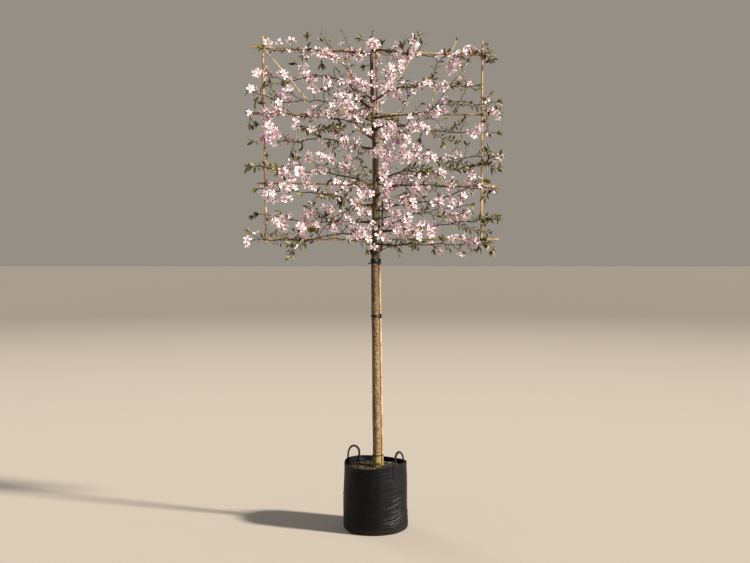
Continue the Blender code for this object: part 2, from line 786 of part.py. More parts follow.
class Mass:
    """Twigs that branch from one stem by a seeded rule, with blossom and leaves on them."""

    def __init__(self, name, seed, stem, radii, normal, space):
        self.name = name
        self.rng = random.Random(seed)
        self.stem = stem
        self.radii = radii
        self.space = space
        self.bodies = [self.stem_body(normal)]
        self.turn = self.rng.uniform(0.0, math.tau)

    def stem_body(self, normal):
        count = len(self.radii)
        centres = self.stem.piece(0.0, 1.0, count)
        return tube("stem", centres, self.radii, 3, Vector((0.0, 0.0, 1.0)), normal)

    def around(self, heading, turn, flatness=1.0):
        """Direction square to a heading, at a turn round it, drawn to front and back."""
        side = across(heading, Vector((0.0, 1.0, 0.0)))
        way = side * math.cos(turn) + heading.cross(side) * math.sin(turn) * flatness
        return way.normalized()

    def add_blossom(self, spot, facing):
        """A flower that looks away from its twig, where there is room for it."""
        centre = spot + facing.normalized() * BLOSSOM_RISE
        if self.space.free(self.name, centre, centre, BLOSSOM_RADIUS):
            self.bodies.append(blossom_body(spot, facing, self.rng.uniform(0.0, math.tau)))

    def add_leaf(self, spot, heading, length):
        """A leaf with its root sunk past the middle of its twig, where there is room."""
        heading = heading.normalized()
        base = spot - heading * TWIG_RADIUS * 0.6
        middle = base + heading * length * 0.25
        end = base + heading * length
        if self.space.free(self.name, middle, end, LEAF_WIDTH / 2.0):
            self.bodies.append(leaf_body(base, heading, self.around(heading, self.turn), length))

    def add_twig(self, share):
        """A side twig, shorter towards the tip, with its own flowers and end leaf."""
        spot, heading = self.stem.at(share)
        self.turn += GOLDEN_TURN
        out = self.around(heading, self.turn, TWIG_FLATNESS)
        lean = TWIG_SPREAD * self.rng.uniform(0.75, 1.15)
        way = (heading * math.cos(lean) + out * math.sin(lean)).normalized()
        size = TWIG_LONGEST + (TWIG_SHORTEST - TWIG_LONGEST) * share
        for cut in (1.0, 0.72, 0.5):
            length = size * self.rng.uniform(0.85, 1.15) * cut
            end = spot + way * length
            clear_start = spot + way * min(0.012, length / 3.0)
            if self.space.free(self.name, clear_start, end, TWIG_RADIUS):
                break
        else:
            self.add_blossom(spot, out)
            return
        self.bodies.append(twig_body(spot, end, TWIG_RADIUS, TWIG_TIP_RADIUS))
        for part in (0.45, 0.92):
            flower = spot.lerp(end, part * self.rng.uniform(0.9, 1.05))
            self.turn += GOLDEN_TURN
            self.add_blossom(flower, self.around(way, self.turn) + way * 0.3)
        for _ in range(1 if share < 0.6 else 2):
            self.turn += GOLDEN_TURN
            leafy = way + self.around(way, self.turn) * self.rng.uniform(0.2, 0.7)
            self.add_leaf(spot.lerp(end, 0.97), leafy, LEAF_LENGTH * self.rng.uniform(0.8, 1.1))

    def grow(self, tuft_spread, tuft_leaf):
        """Twigs and flowers along the stem and a tuft of leaves at its end."""
        count = max(1, round(self.stem.length / TWIG_PITCH))
        for place in range(count):
            share = ((place + self.rng.uniform(0.15, 0.5)) / count) ** ROOT_CROWDING
            self.add_twig(share)
            spot, heading = self.stem.at(share + 0.45 / count)
            self.turn += GOLDEN_TURN
            self.add_blossom(spot, self.around(heading, self.turn))
        spot, heading = self.stem.at(0.985)
        for place in range(TUFT_LEAVES):
            spread = self.around(heading, self.turn + math.tau * place / TUFT_LEAVES)
            self.add_leaf(spot, heading + spread * tuft_spread, tuft_leaf)
        return self.bodies


def main_body(mesh):
    """Keep the one large shell: loose scraps are dropped and sealed hollows are filled."""
    build = bmesh.new()
    build.from_mesh(mesh)
    left = set(build.faces)
    shells = []
    while left:
        shell = {left.pop()}
        edge_front = list(shell)
        while edge_front:
            face = edge_front.pop()
            for edge in face.edges:
                for near in edge.link_faces:
                    if near in left:
                        left.remove(near)
                        shell.add(near)
                        edge_front.append(near)
        shells.append(shell)
    keep = max(shells, key=len)
    scraps = [face for face in build.faces if face not in keep]
    bmesh.ops.delete(build, geom=scraps, context="FACES")
    bmesh.ops.triangulate(build, faces=build.faces[:])
    build.to_mesh(mesh)
    build.free()


def fuse(name, bodies):
    """One Boolean union on a collection joins a mass's bodies to its stem."""
    group = bpy.data.collections.new(f"{name}_bodies")
    bpy.context.scene.collection.children.link(group)
    for mesh in bodies[1:]:
        group.objects.link(bpy.data.objects.new("piece", mesh))
    stem = bpy.data.objects.new(f"{name}_stem", bodies[0])
    bpy.context.scene.collection.objects.link(stem)
    union = stem.modifiers.new("union", "BOOLEAN")
    union.operation = "UNION"
    union.operand_type = "COLLECTION"
    union.collection = group
    union.solver = "MANIFOLD"
    bpy.context.view_layer.update()
    depsgraph = bpy.context.evaluated_depsgraph_get()
    fused = bpy.data.meshes.new_from_object(stem.evaluated_get(depsgraph))
    for item in [stem, *group.objects]:
        bpy.data.objects.remove(item, do_unlink=True)
    bpy.data.collections.remove(group)
    main_body(fused)
    add_node(name, fused, blossom_and_leaf())


def stem_radii(root, length):
    """Radii along a stem, from its root to its thin tip."""
    count = STEM_RINGS if length > 0.3 else 4
    return [root + (STEM_TIP_RADIUS - root) * step / (count - 1) for step in range(count)]


def fork_run(run, bare):
    """The second stem of the forked bough: up, forward and over the tiers above it."""
    start, heading = run.at(bare)
    root = start + heading * SEAT + Vector((0.0, 0.0, 0.0030))
    knee = Vector((FORK_KNEE[0], FORK_LANE, FORK_KNEE[1]))
    tip = Vector((FORK_TIP[0], FORK_LANE, FORK_TIP[1]))
    way = (heading + (knee - root).normalized() * 0.8).normalized()
    return Run(smooth_run([root, knee, tip], way, RUN_STEPS)), heading


def make_crown():
    """Boughs first, then each mass in the space that is left nearest to its own limb."""
    space = Space()
    runs = {name: limb_run(name) for name in LIMBS}
    masses = []
    for name, (run, out) in runs.items():
        bare = LIMBS[name][4]
        root = root_radius(run)
        space.add_line(name, run)
        if bare > 0.0:
            space.add_solid(*make_bough(name, run, out))
            spot, heading = run.at(bare)
            points = [spot + heading * SEAT, *run.piece(bare + 0.03, 1.0, 20)]
            root *= BOUGH_TIP_SHARE
            out = heading
        else:
            points = run.points
            root *= 0.8
        if name == FORK_FROM:
            points[0] = points[0] - Vector((0.0, 0.0, 0.0030))
            root = 0.0026
        masses.append((name, Run(points), root, out))
    fork, fork_heading = fork_run(runs[FORK_FROM][0], LIMBS[FORK_FROM][4])
    space.add_line(FORK_NAME, fork)
    masses.append((FORK_NAME, fork, 0.0026, fork_heading))
    top, top_radius = trunk_at(TRUNK_ROWS[-1][0])
    up = Vector((0.0, 0.0, 1.0))
    leader = Run([top + up * SEAT, top + up * LEADER_RISE])
    space.add_line(LEADER_NAME, leader)
    masses.append((LEADER_NAME, leader, top_radius * 0.5, up))

    heights = [TRUNK_ROWS[0][0] + 0.05 * step for step in range(53)]
    rows = [trunk_at(min(height, TRUNK_ROWS[-1][0])) for height in heights]
    space.add_solid([row[0] for row in rows], [row[1] for row in rows])
    for name in CANES:
        space.add_solid(cane_ends(name), [cane_radius(name) + CANE_NODE_RISE] * 2)
    tie_middle = trunk_at(TIES["tie_crown"][0])
    space.add_solid([tie_middle[0], tie_middle[0] + up * 0.01], [tie_middle[1] + 0.004] * 2)
    space.close()
    for seed, (name, stem, root, normal) in enumerate(masses):
        mass = Mass(name, seed, stem, stem_radii(root, stem.length), normal, space)
        at_top = name == LEADER_NAME
        tuft = (LEADER_SPREAD, LEADER_LEAF) if at_top else (TUFT_SPREAD, LEAF_LENGTH)
        fuse(f"mass_{name}", mass.grow(*tuft))


def main():
    clear_scene()
    make_bag()
    make_soil()
    for name in HANDLE_ANGLES:
        make_handle(name)
    make_trunk()
    for place, name in enumerate(CANES):
        make_cane(name, 0.35 + 0.618 * place % 0.6)
    for name in TIES:
        make_tie(name)
    make_crown()


main()
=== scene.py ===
import random
from functools import cache, partial
from math import acos, atan2, copysign, cos, exp, floor, pi, radians, remainder, sin, sqrt, tau

import bpy
import numpy as np
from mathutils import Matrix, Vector, noise


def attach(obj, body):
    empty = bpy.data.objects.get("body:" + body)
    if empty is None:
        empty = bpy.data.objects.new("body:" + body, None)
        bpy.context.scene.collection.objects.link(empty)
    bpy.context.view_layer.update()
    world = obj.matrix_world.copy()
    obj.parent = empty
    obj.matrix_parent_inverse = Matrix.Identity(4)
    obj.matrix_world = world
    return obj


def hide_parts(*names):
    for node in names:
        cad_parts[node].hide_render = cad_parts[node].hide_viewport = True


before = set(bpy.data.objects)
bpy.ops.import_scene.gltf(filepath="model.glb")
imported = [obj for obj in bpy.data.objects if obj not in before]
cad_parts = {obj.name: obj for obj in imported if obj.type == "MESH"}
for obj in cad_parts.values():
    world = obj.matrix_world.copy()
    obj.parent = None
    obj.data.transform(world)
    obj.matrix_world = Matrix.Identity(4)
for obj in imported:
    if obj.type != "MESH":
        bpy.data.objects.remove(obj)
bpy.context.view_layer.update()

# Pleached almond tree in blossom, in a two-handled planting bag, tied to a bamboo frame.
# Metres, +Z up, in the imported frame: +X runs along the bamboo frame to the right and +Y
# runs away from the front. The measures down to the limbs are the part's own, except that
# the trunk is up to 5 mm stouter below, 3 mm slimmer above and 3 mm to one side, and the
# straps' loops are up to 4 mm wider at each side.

UP = Vector((0, 0, 1))
DEEP = Vector((0, 1, 0))
SEAT = 0.0003
SOFT_SEAT = 0.0005

# Planting bag
BAG_FOOT_RADIUS = 0.1915
BAG_RIM_RADIUS = 0.184
BAG_HEIGHT = 0.4
BAG_WALL = 0.003
BAG_EDGE_RADIUS = 0.022
BAG_BULGE = 0.003
BAG_SIDES = 36
LIFT_START = 0.3
RIM_LIFT = 0.007
RIM_SAG = 0.01
SAG_ANGLE = radians(-105)
SAG_SPREAD = radians(35)
HEM_HEIGHT = 0.022
STITCH_PITCH = 0.0075
STITCH_RADIUS = 0.0005
CREASE_PRESS = 0.82
SEAM_ANGLE = radians(-58)
SEAM_FOOT = 0.306

# Carrying straps: bearing on the wall, top, lean inward at the top, and half span
HANDLES = {
    "handle_left": (radians(143), 0.479, 0.004, 0.059),
    "handle_right": (radians(-33.5), 0.476, 0.014, 0.047),
}
HANDLE_FOOT = 0.373
HANDLE_SPRING = 0.425
STRAP_WIDTH = 0.012
STRAP_THICKNESS = 0.004
STRAP_FULLNESS = 0.0042
STRAP_SIDES = 16

# Compost
SOIL_TOP = 0.37
SOIL_EDGE = 0.362
SOIL_LEVEL_RADIUS = 0.062
SOIL_CREST_RADIUS = 0.12
SOIL_CREST = SOIL_TOP + 0.002
CHIP_COUNT = 620

# Trunk: height, sideways place and diameter
TRUNK_ROWS = (
    (0.3703, 0.0076, 0.0484),
    (0.436, 0.008, 0.0474),
    (0.766, 0.0034, 0.0462),
    (1.066, 0.0006, 0.044),
    (1.366, -0.0036, 0.043),
    (1.576, -0.0052, 0.044),
    (1.726, -0.0072, 0.0312),
    (2.026, -0.0045, 0.0254),
    (2.266, -0.0066, 0.0252),
    (2.345, -0.0078, 0.0246),
    (2.42, -0.0132, 0.0236),
    (2.506, -0.018, 0.023),
    (2.686, -0.0222, 0.0214),
    (2.944, -0.0252, 0.018),
)
FLARE = 0.003
FLARE_HEIGHT = 0.035
TRUNK_SIDES = 44
RING_SCARS = (0.83, 1.17, 1.49, 1.93, 2.31, 2.62)
# A pruned stump's rings: reach and radius as shares of its girth
STUMP_RINGS = ((0, 1.22), (0.5, 1.02), (1, 0.95), (1.46, 0.93), (1.52, 0.82))
TRUNK_RING_STEP = 0.008

# Bamboo frame: ends as (sideways, height)
CANE_RADIUS = 0.006
CENTRE_CANE_RADIUS = 0.007
CANE_NODE_RISE = 0.0006
LEVEL_LANE = 0.0235
UPRIGHT_LANE = LEVEL_LANE - 2 * CANE_RADIUS - SEAT
CENTRE_LANE = LEVEL_LANE - CANE_RADIUS - CENTRE_CANE_RADIUS - SEAT
CANES = {
    "cane_centre": ((0.041, SOIL_TOP + SEAT), (0.003, 2.93)),
    "cane_left": ((-0.657, 1.702), (-0.679, 2.95)),
    "cane_right": ((0.636, 1.708), (0.642, 2.92)),
    "cane_level_1": ((-0.747, 2.887), (0.723, 2.836)),
    "cane_level_2": ((-0.765, 2.486), (0.717, 2.48)),
    "cane_level_3": ((-0.717, 2.068), (0.729, 2.05)),
    "cane_level_4": ((-0.681, 1.729), (0.741, 1.729)),
}

# Ties round the trunk and the centre cane: height of the middle, width, thickness
TIES = {
    "tie_foot": (0.436, 0.006, 0.0018),
    "tie_middle": (1.27, 0.014, 0.0024),
    "tie_upper": (1.6, 0.028, 0.0026),
    "tie_crown": (1.806, 0.012, 0.0022),
}

WIDE_TIE = 0.02

# The ties' moulded blocks: half width, half height, and how far below the belt's middle
TIE_BLOCKS = {
    "tie_middle": (0.01, 0.015, 0),
    "tie_upper": (0.011, 0.02, 0.005),
    "tie_crown": (0.0095, 0.009, 0),
}

TWINE_RADIUS = 0.0011
TWINE_PITCH = 0.0024

# Limbs: height on the trunk, knee and tip as (sideways, height), how far in front (-) of
# the trunk the tip lies, and the share of the run that is bare bough
LIMBS = {
    "left_01": (2.842, (-0.273, 2.86), (-0.668, 2.872), -0.02, 0.2),
    "left_02": (2.578, (-0.15, 2.722), (-0.309, 2.902), -0.066, 0),
    "left_03": (2.52, (-0.225, 2.692), (-0.695, 2.728), 0.042, 0.14),
    "left_04": (2.446, (-0.333, 2.566), (-0.75, 2.614), -0.03, 0.14),
    "left_05": (2.338, (-0.183, 2.44), (-0.745, 2.488), -0.018, 0.12),
    "left_06": (2.272, (-0.273, 2.332), (-0.74, 2.322), 0.04, 0.14),
    "left_07": (2.026, (-0.141, 2.096), (-0.755, 2.172), -0.016, 0.13),
    "left_08": (1.93, (-0.29, 1.996), (-0.7, 2.03), -0.05, 0.12),
    "left_09": (1.834, (-0.423, 1.846), (-0.705, 1.88), 0.042, 0.12),
    "left_10": (1.7, (-0.17, 1.768), (-0.762, 1.716), -0.024, 0.12),
    "right_01": (2.866, (0.339, 2.826), (0.672, 2.806), -0.022, 0.2),
    "right_02": (2.64, (0.11, 2.752), (0.249, 2.93), -0.062, 0),
    "right_03": (2.566, (0.15, 2.64), (0.61, 2.65), -0.016, 0.15),
    "right_04": (2.458, (0.237, 2.488), (0.725, 2.568), -0.03, 0.15),
    "right_05": (2.386, (0.105, 2.412), (0.725, 2.37), -0.018, 0.26),
    "right_07": (2.266, (0.267, 2.212), (0.755, 2.228), -0.03, 0.14),
    "right_08": (2.086, (0.207, 2.142), (0.655, 2.17), -0.05, 0.14),
    "right_09": (1.996, (0.159, 2.056), (0.705, 2.026), -0.014, 0.14),
    "right_10": (1.9, (0.19, 1.956), (0.64, 2.072), -0.07, 0.15),
    "right_11": (1.852, (0.21, 1.884), (0.56, 1.93), -0.02, 0),
    "right_12": (1.774, (0.33, 1.812), (0.715, 1.85), -0.034, 0.14),
    "right_13": (1.7, (0.17, 1.694), (0.655, 1.704), -0.018, 0.14),
}
FORK_NAME = "right_06"
FORK_FROM = "right_05"
FORK_KNEE = Vector((0.369, -0.074, 2.542))
FORK_TIP = Vector((0.573, -0.074, 2.826))
LEADER_RISE = 0.024

BOUGH_ROOT_RADIUS = 0.0056
BOUGH_RADIUS_PER_RUN = 0.003
BOUGH_TIP_SHARE = 0.78
COLLAR_SHARE = 1.3
COLLAR_LENGTH = 0.014
FRONT_TURN = radians(24)
RUN_STEPS = 24

# Growth rule of a mass, as in the part, carried on to finer twigs
STEM_TIP_RADIUS = 0.0018
NODE_SPACING = 0.048
TWIG_PITCH = 0.112
TWIG_RADIUS = 0.0021
TWIG_TIP_RADIUS = 0.0011
TWIG_LONGEST = 0.15
TWIG_SHORTEST = 0.055
TWIG_SPREAD = radians(58)
TWIG_FLATNESS = 0.45
ROOT_CROWDING = 1.2
GOLDEN_TURN = radians(137.5)
SPUR_PITCH = 0.026
BLOSSOM_RADIUS = 0.0245
LEAF_LENGTH = 0.045
CROWN_LOW = (-0.79, -0.194, 1.6)
CROWN_HIGH = (0.776, 0.194, 2.99)
SPRAY_DEPTH = 0.15
BLOSSOM_CEILING = 2.945
GROWN_BLOSSOM_CEILING = 2.875

FLOOR_HALF = 300
FLOOR_LEVEL = -0.0005
CAMERA_PLACE = Vector((-0.003, -6, 1.6))
CAMERA_LENS = 48
CAMERA_RISE = -0.0273

# Bouquets on the short spurs, where a maker wires them: (sideways cm, height cm, flowers),
# tier by tier from the top, first on the left and then on the right of the trunk
BOUQUETS = (
    (-64, 291, 3), (-57, 291, 2), (-50, 291, 3), (-34, 286, 2), (-28, 284, 4), (-24, 281, 3),
    (-18, 284, 3), (-14, 283, 6), (-10, 282, 4), (-2, 290, 8), (-71, 273, 4), (-68, 271, 2),
    (-56, 273, 3), (-43, 275, 4), (-43, 270, 3), (-39, 269, 3), (-77, 263, 3), (-73, 261, 4),
    (-53, 263, 4), (-57, 258, 5), (-59, 254, 3), (-52, 256, 2), (-37, 263, 3), (-28, 263, 1),
    (-19, 266, 3), (-14, 270, 4), (-9, 267, 5), (-6, 265, 5), (-2, 270, 3), (-24, 258, 4), (-18, 258, 6),
    (-16, 254, 5), (-21, 254, 5), (-11, 258, 3), (-4, 252, 4), (-1, 258, 2), (-77, 249, 1), (-67, 249, 2),
    (-65, 245, 4), (-55, 249, 2), (-39, 247, 5), (-34, 251, 3), (-30, 247, 5), (-48, 242, 3),
    (-64, 240, 6), (-60, 236, 5), (-62, 232, 5), (-39, 240, 2), (-24, 237, 6), (-21, 240, 3),
    (-54, 235, 3), (-53, 232, 4), (-48, 233, 3), (-44, 231, 2), (-19, 231, 6), (-16, 227, 2),
    (-11, 231, 4), (-7, 239, 3), (-18, 246, 3), (-14, 251, 3), (-8, 249, 3), (-40, 222, 4), (-33, 222, 4),
    (-27, 222, 3), (-18, 223, 3), (-46, 218, 4), (-51, 218, 3), (-56, 213, 4), (-52, 210, 3),
    (-45, 213, 7), (-42, 210, 3), (-41, 206, 5), (-37, 203, 3), (-24, 207, 3), (-18, 205, 2),
    (-19, 216, 3), (-15, 215, 3), (-11, 207, 3), (-8, 203, 3), (-11, 200, 3), (-4, 200, 3), (-11, 196, 4),
    (-6, 195, 4), (-6, 189, 3), (-60, 205, 3), (-55, 204, 3), (-50, 204, 3), (-67, 201, 4), (-64, 200, 4),
    (-60, 197, 2), (-53, 197, 3), (-40, 193, 2), (-27, 192, 4), (-30, 191, 2), (-16, 189, 3),
    (-60, 183, 4), (-55, 180, 3), (-55, 184, 3), (-42, 186, 3), (-38, 188, 3), (-45, 180, 5),
    (-45, 176, 5), (-42, 183, 4), (-37, 181, 5), (-29, 179, 2), (-24, 179, 2), (-12, 177, 8),
    (-9, 177, 3), (-10, 185, 4), (-15, 183, 3), (-19, 188, 2), (-4, 180, 4), (-78, 171, 3), (-46, 168, 1),
    (0, 182, 2), (-1, 170, 2),
    (21.5, 293, 2), (9, 276, 4), (6, 273, 3), (4, 266, 4), (9, 267, 2), (5, 263, 3), (0, 282, 3),
    (2, 279, 2), (46, 280, 5), (45, 275, 5), (49, 282, 2), (56, 287, 3), (52, 285, 2), (60, 287, 1),
    (22, 261, 1), (31, 267, 4), (35, 266, 4), (38, 263, 4), (41, 265, 3), (28, 263, 2), (18, 266, 1),
    (12, 261, 3), (14, 258, 3), (17, 255, 2), (34, 252, 2), (33, 250, 4), (36, 250, 4), (40, 250, 4),
    (70, 249, 2), (74, 248, 2), (61, 240, 4), (58, 236, 2), (59, 238, 2), (22, 241, 3), (26, 240, 3),
    (30, 239, 2), (7, 240, 3), (10, 240, 3), (6, 236, 4), (10, 234, 4), (15, 236, 5), (19, 233, 4),
    (4, 233, 3), (2, 227, 3), (0, 225, 4), (51, 231, 1), (2, 253, 3), (3, 175, 2), (18, 226, 4),
    (24, 225, 4), (25, 228, 2), (7, 224, 4), (10, 222, 3), (6, 221, 4), (15, 221, 3), (19, 222, 4),
    (25, 222, 3), (30, 222, 2), (34, 222, 2), (43, 223, 1), (49, 224, 2), (5, 216, 3), (6, 211, 3),
    (16, 210, 3), (19, 209, 4), (12, 207, 3), (7, 204, 4), (10, 203, 3), (6, 199, 3), (22, 216, 1),
    (29, 213, 2), (32, 210, 3), (27, 210, 3), (34, 213, 3), (39, 213, 3), (57, 215, 3), (55, 212, 3),
    (58, 212, 4), (57, 209, 4), (46, 207, 3), (25, 204, 3), (25, 201, 4), (22, 200, 2), (30, 203, 2),
    (5, 195, 3), (21, 195, 3), (22, 192, 3), (37, 195, 4), (46, 195, 3), (41, 192, 1), (12, 188, 4),
    (19, 186, 3), (6, 182, 4), (10, 182, 4), (13, 180, 5), (16, 183, 4), (25, 179, 3), (27, 178, 3),
    (33, 178, 4), (34, 177, 3), (17, 177, 2), (46, 186, 4), (49, 187, 3), (55, 188, 3), (56, 185, 1),
    (60, 204, 3), (58, 202, 2), (51, 175, 3), (45, 173, 2), (60, 171, 2), (70, 222, 2), (70, 220, 1),
)
# Bouquets in the crown's shade: their petals take a mauve tint that is painted shade
SHADED_BOUQUETS = ((-63, 248, 5), (-66, 233, 5), (13, 231, 6), (57, 171, 3))

# Where a limb wanders from its plain run, within its mass: (share of the run, rise in metres)
LIMB_BENDS = {
    "left_03": ((0.5, 0), (0.66, -0.014), (0.8, -0.038), (0.9, -0.016), (1, 0)),
    "left_04": ((0.45, 0), (0.55, -0.024), (0.64, -0.044), (0.76, -0.046), (0.9, -0.016), (1, 0)),
    "left_10": ((0.28, 0), (0.4, -0.018), (0.52, -0.026), (0.66, -0.01), (1, 0)),
    "right_01": ((0.5, 0), (0.71, 0.018), (0.86, 0.036), (1, 0.03)),
    "right_04": ((0.4, 0), (0.6, 0.028), (0.7, 0.024), (0.86, -0.01), (1, -0.02)),
    "right_05": ((0.3, 0), (0.44, -0.016), (0.62, -0.012), (0.85, 0), (1, -0.006)),
    "right_08": ((0.24, 0), (0.36, -0.01), (0.5, -0.026), (0.64, -0.022), (0.88, 0), (1, 0.008)),
    "right_10": ((0.16, 0), (0.28, -0.016), (0.4, -0.036), (0.54, -0.044), (0.66, -0.036),
                 (0.8, -0.016), (1, 0)),
}

# Where a limb is thicker than its taper: (share of the run, half length, more radius)
LIMB_KNUCKLES = {
    "left_10": (0.545, 0.045, 0.005),
    "left_08": (0.45, 0.11, 0.0022),
    "left_05": (0.33, 0.06, 0.0016),
    "right_03": (0.3, 0.08, 0.0014),
    "right_10": (0.66, 0.14, 0.0016),
}

# Sheaths of blossom that clothe a branch: places along it, flowers, half width in metres
SHEATHS = (
    (((5.5, 263), (9, 269), (12.5, 274), (16, 278.5)), 40, 0.019),
    (((14.5, 277.5), (18.5, 282), (22.5, 286.5), (25, 290.5)), 34, 0.008),
    (((44, 273.5), (45.5, 277), (47.5, 281), (48.5, 284.5)), 18, 0.013),
    (((-40, 247), (-33, 248)), 10, 0.016),
    (((-60, 240), (-61, 232)), 12, 0.018),
    (((-44, 213), (-48, 217)), 9, 0.018),
    (((2, 226), (8, 222), (14, 221)), 16, 0.022),
)
# Flowers that stand clear and face forward: (sideways cm, height cm, scale)
BOLD_FLOWERS = (
    (3, 175.2, 1.26), (-70.5, 271.6, 1), (-41.7, 274, 1.1), (-20, 256.6, 1),
    (-77, 172.6, 1), (-46, 213.4, 1.25), (-62, 238.6, 1), (-24.3, 236.2, 1.05),
    (-33, 283.5, 1), (-10.5, 175, 1.1), (33, 178, 1), (19, 182.5, 1.1), (0.5, 242, 1),
    (-0.5, 265.5, 1.05), (75, 222, 1), (-45.5, 181, 1),
)

# One-year shoots: leaves on each 10 cm, then its places as sideways cm and height cm in turn
SHOOTS = (
    (0, -41.7, 254.2, -66.7, 287.4), (0, -41.5, 254.6, -46.6, 262.5), (3, -59, 261, -63, 266),
    (0, -13, 271, -31.5, 291.4), (5, -65, 265, -61, 259, -59, 252), (2, -70, 271, -62, 267, -57, 266),
    (2, -49, 249, -57, 254, -62, 258), (8, -13, 262, -8, 257, -5, 252), (7, -20, 259, -12, 251, -5, 247),
    (7, -26, 247, -16, 244, -6, 238), (9, -45, 240, -34, 239, -20, 240),
    (3, -34, 218, -20, 213, -8, 215), (4, -12, 224, -7, 214, -3, 206), (4, -19, 205, -11, 208, -4, 213),
    (2, -35, 177, -28, 183, -22, 188, -12, 190), (4, -24, 196, -14, 196, -4, 192),
    (11, -54, 217, -66, 217, -78, 216), (5, -40, 174, -47, 168, -51, 162),
    (7, -40, 174, -46, 173, -52, 170), (10, -39, 204, -30, 200, -21, 197),
    (9, -70, 174, -62, 176, -54, 174), (12, -42, 291, -41, 287), (5, 33, 270, 37, 278, 43, 285),
    (0, 45, 284.5, 48.5, 292), (1, 10, 266, 21.5, 282), (5, 15, 267, 23, 265, 32, 269),
    (8, 14, 214, 22, 216, 32, 215), (2, 6, 200, 13, 205, 24, 211), (2, 5, 245, 10, 243, 20, 240),
    (2, 26, 212, 30, 209, 33, 206), (3, 5, 178, 13, 184, 28, 190), (0, 11.3, 287, 11.2, 280.5),
    (0, 34.6, 261, 34.3, 254.5), (2, 19, 257, 15, 249, 9, 246), (6, 64, 258, 67, 251, 74, 249),
    (7, 45, 266, 53, 265, 61, 263), (8, 39, 255, 51, 254, 63, 252), (9, 39, 221, 48, 219, 57, 217),
    (8, 44, 242, 51, 243), (8, 30, 236, 39, 234, 48, 232), (10, 58, 226, 66, 226, 71, 223, 76, 223),
    (9, 60, 219, 66, 218, 73, 216), (7, 17, 204, 20, 197), (5, 27, 193, 31, 189, 39, 187, 57, 189),
    (10, 55, 182, 66, 186, 74, 185), (9, 46, 181, 57, 179, 68, 177), (7, 3, 167, 14, 170, 27, 171),
    (8, 58, 173, 66, 171, 70, 168), (8, 62, 285, 66, 283, 70, 281), (2.2, -30, 262, -20, 254, -10, 247),
    (2.2, -28, 240, -16, 232, -5, 226), (2, -25, 227, -15, 236, -6, 241),
    (2, -22, 219, -13, 211, -4, 207), (2.4, -25, 201, -14, 204, -5, 206),
    (2, -22, 186, -14, 193, -5, 197), (2, -20, 176, -12, 184, -4, 188),
    (3, -30, 171, -18, 173, -6, 171), (2.2, -24, 276, -15, 262, -6, 256),
    (2, -2.2, 173, -4.9, 171.5, -5.5, 169, -5.3, 166.8), (9, -45, 172, -49, 168, -52, 163),
    (12, -37, 190, -30, 186, -24, 184), (10, -14, 266, -12, 262, -8, 259),
    (8, -45, 241, -36, 238, -24, 241), (8, 33, 219, 44, 216, 56, 215), (8, 12, 215, 22, 212, 29, 214),
    (0, 45.3, 266.2, 50, 273, 55, 278.8),
)
# Leafy spurs: (sideways cm, height cm, leaves)
LEAF_TUFTS = (
    (-41, 293, 5), (-48, 278, 5), (-43, 284, 4), (-32, 279, 5), (-6, 277, 4), (-33, 234, 4),
    (-28, 232, 4), (-75, 242, 4), (-70, 242, 5), (-50, 225, 4), (-47, 221, 5), (-39, 177, 5),
    (-35, 177, 4), (-60, 249, 3), (-68, 264, 4), (-72, 255, 3), (-66, 222, 4), (-66, 205, 3),
    (-73, 187, 4), (-8, 293, 4), (4, 290, 5), (9, 286, 4), (16, 288, 3), (64, 285, 4), (67, 289, 3),
    (66, 284, 5), (69, 281, 4), (66, 256, 5), (68, 251, 3), (73, 250, 3), (66, 243, 4), (67, 226, 5),
    (64, 221, 5), (75, 218, 4), (70, 216, 4), (69, 203, 4), (66, 199, 3), (69, 185, 5), (65, 183, 4),
    (62, 169, 4), (66, 172, 4), (70, 166, 3), (24, 169, 3), (35, 167, 3), (40, 172, 4), (-12, 243, 4),
    (-27, 209, 4), (-20, 196, 4), (13, 244, 4), (27, 234, 3), (41, 231, 4), (46, 219, 4), (36, 205, 4),
    (52, 198, 4),
)
# Second stem: places in metres
SECOND_STEM = (
    (0.002, 0.016, 1.64), (0.033, 0.022, 1.668), (0.0385, 0.012, 1.76),
    (0.041, 0.006, 1.88), (0.045, 0, 1.99), (0.054, -0.006, 2.11),
)
SECOND_STEM_RADII = (0.0078, 0.0034)
# Pruned stumps on the trunk: height, bearing and girth
CUT_STUMPS = (
    (1.647, radians(-128), 0.0175),
    (1.985, radians(-60), 0.009),
    (2.39, radians(-110), 0.008),
)


# Finishes


def linear(hex_colour):
    """Linear RGBA of an sRGB hex colour."""
    channels = [int(hex_colour[place:place + 2], 16) / 255 for place in (0, 2, 4)]
    curved = [c / 12.92 if c <= 0.04045 else ((c + 0.055) / 1.055) ** 2.4 for c in channels]
    return (*curved, 1)


def feed(made, feeds):
    """Links or sets sockets of a node, by number or by name with _ for a space."""
    for socket, value in feeds.items():
        goal = made.inputs[socket if isinstance(socket, int) else socket.replace("_", " ")]
        if isinstance(value, bpy.types.NodeSocket):
            made.id_data.links.new(value, goal)
        else:
            goal.default_value = value


def add_node(tree, kind, numbered=None, stops=(), give=0, **named):
    """Add a node and give one of its outputs: a name with a capital is a socket's, and
    one without is a setting's."""
    made = tree.nodes.new("ShaderNode" + kind)
    for setting in [name for name in named if name.islower()]:
        setattr(made, setting, named.pop(setting))
    if stops:
        ramp = made.color_ramp.elements
        while len(ramp) < len(stops):
            ramp.new(1)
        for stop, (place, colour) in zip(ramp, stops):
            stop.position = place
            stop.color = linear(colour)
    feed(made, {**(numbered or {}), **named})
    return made.outputs[give]


def start_finish(name):
    """A material, what adds a node to it, and the texture coordinates in it."""
    made = bpy.data.materials.new(name)
    made.use_nodes = True
    place = made.node_tree.nodes.new("ShaderNodeTexCoord")
    return made, partial(add_node, made.node_tree), place.outputs


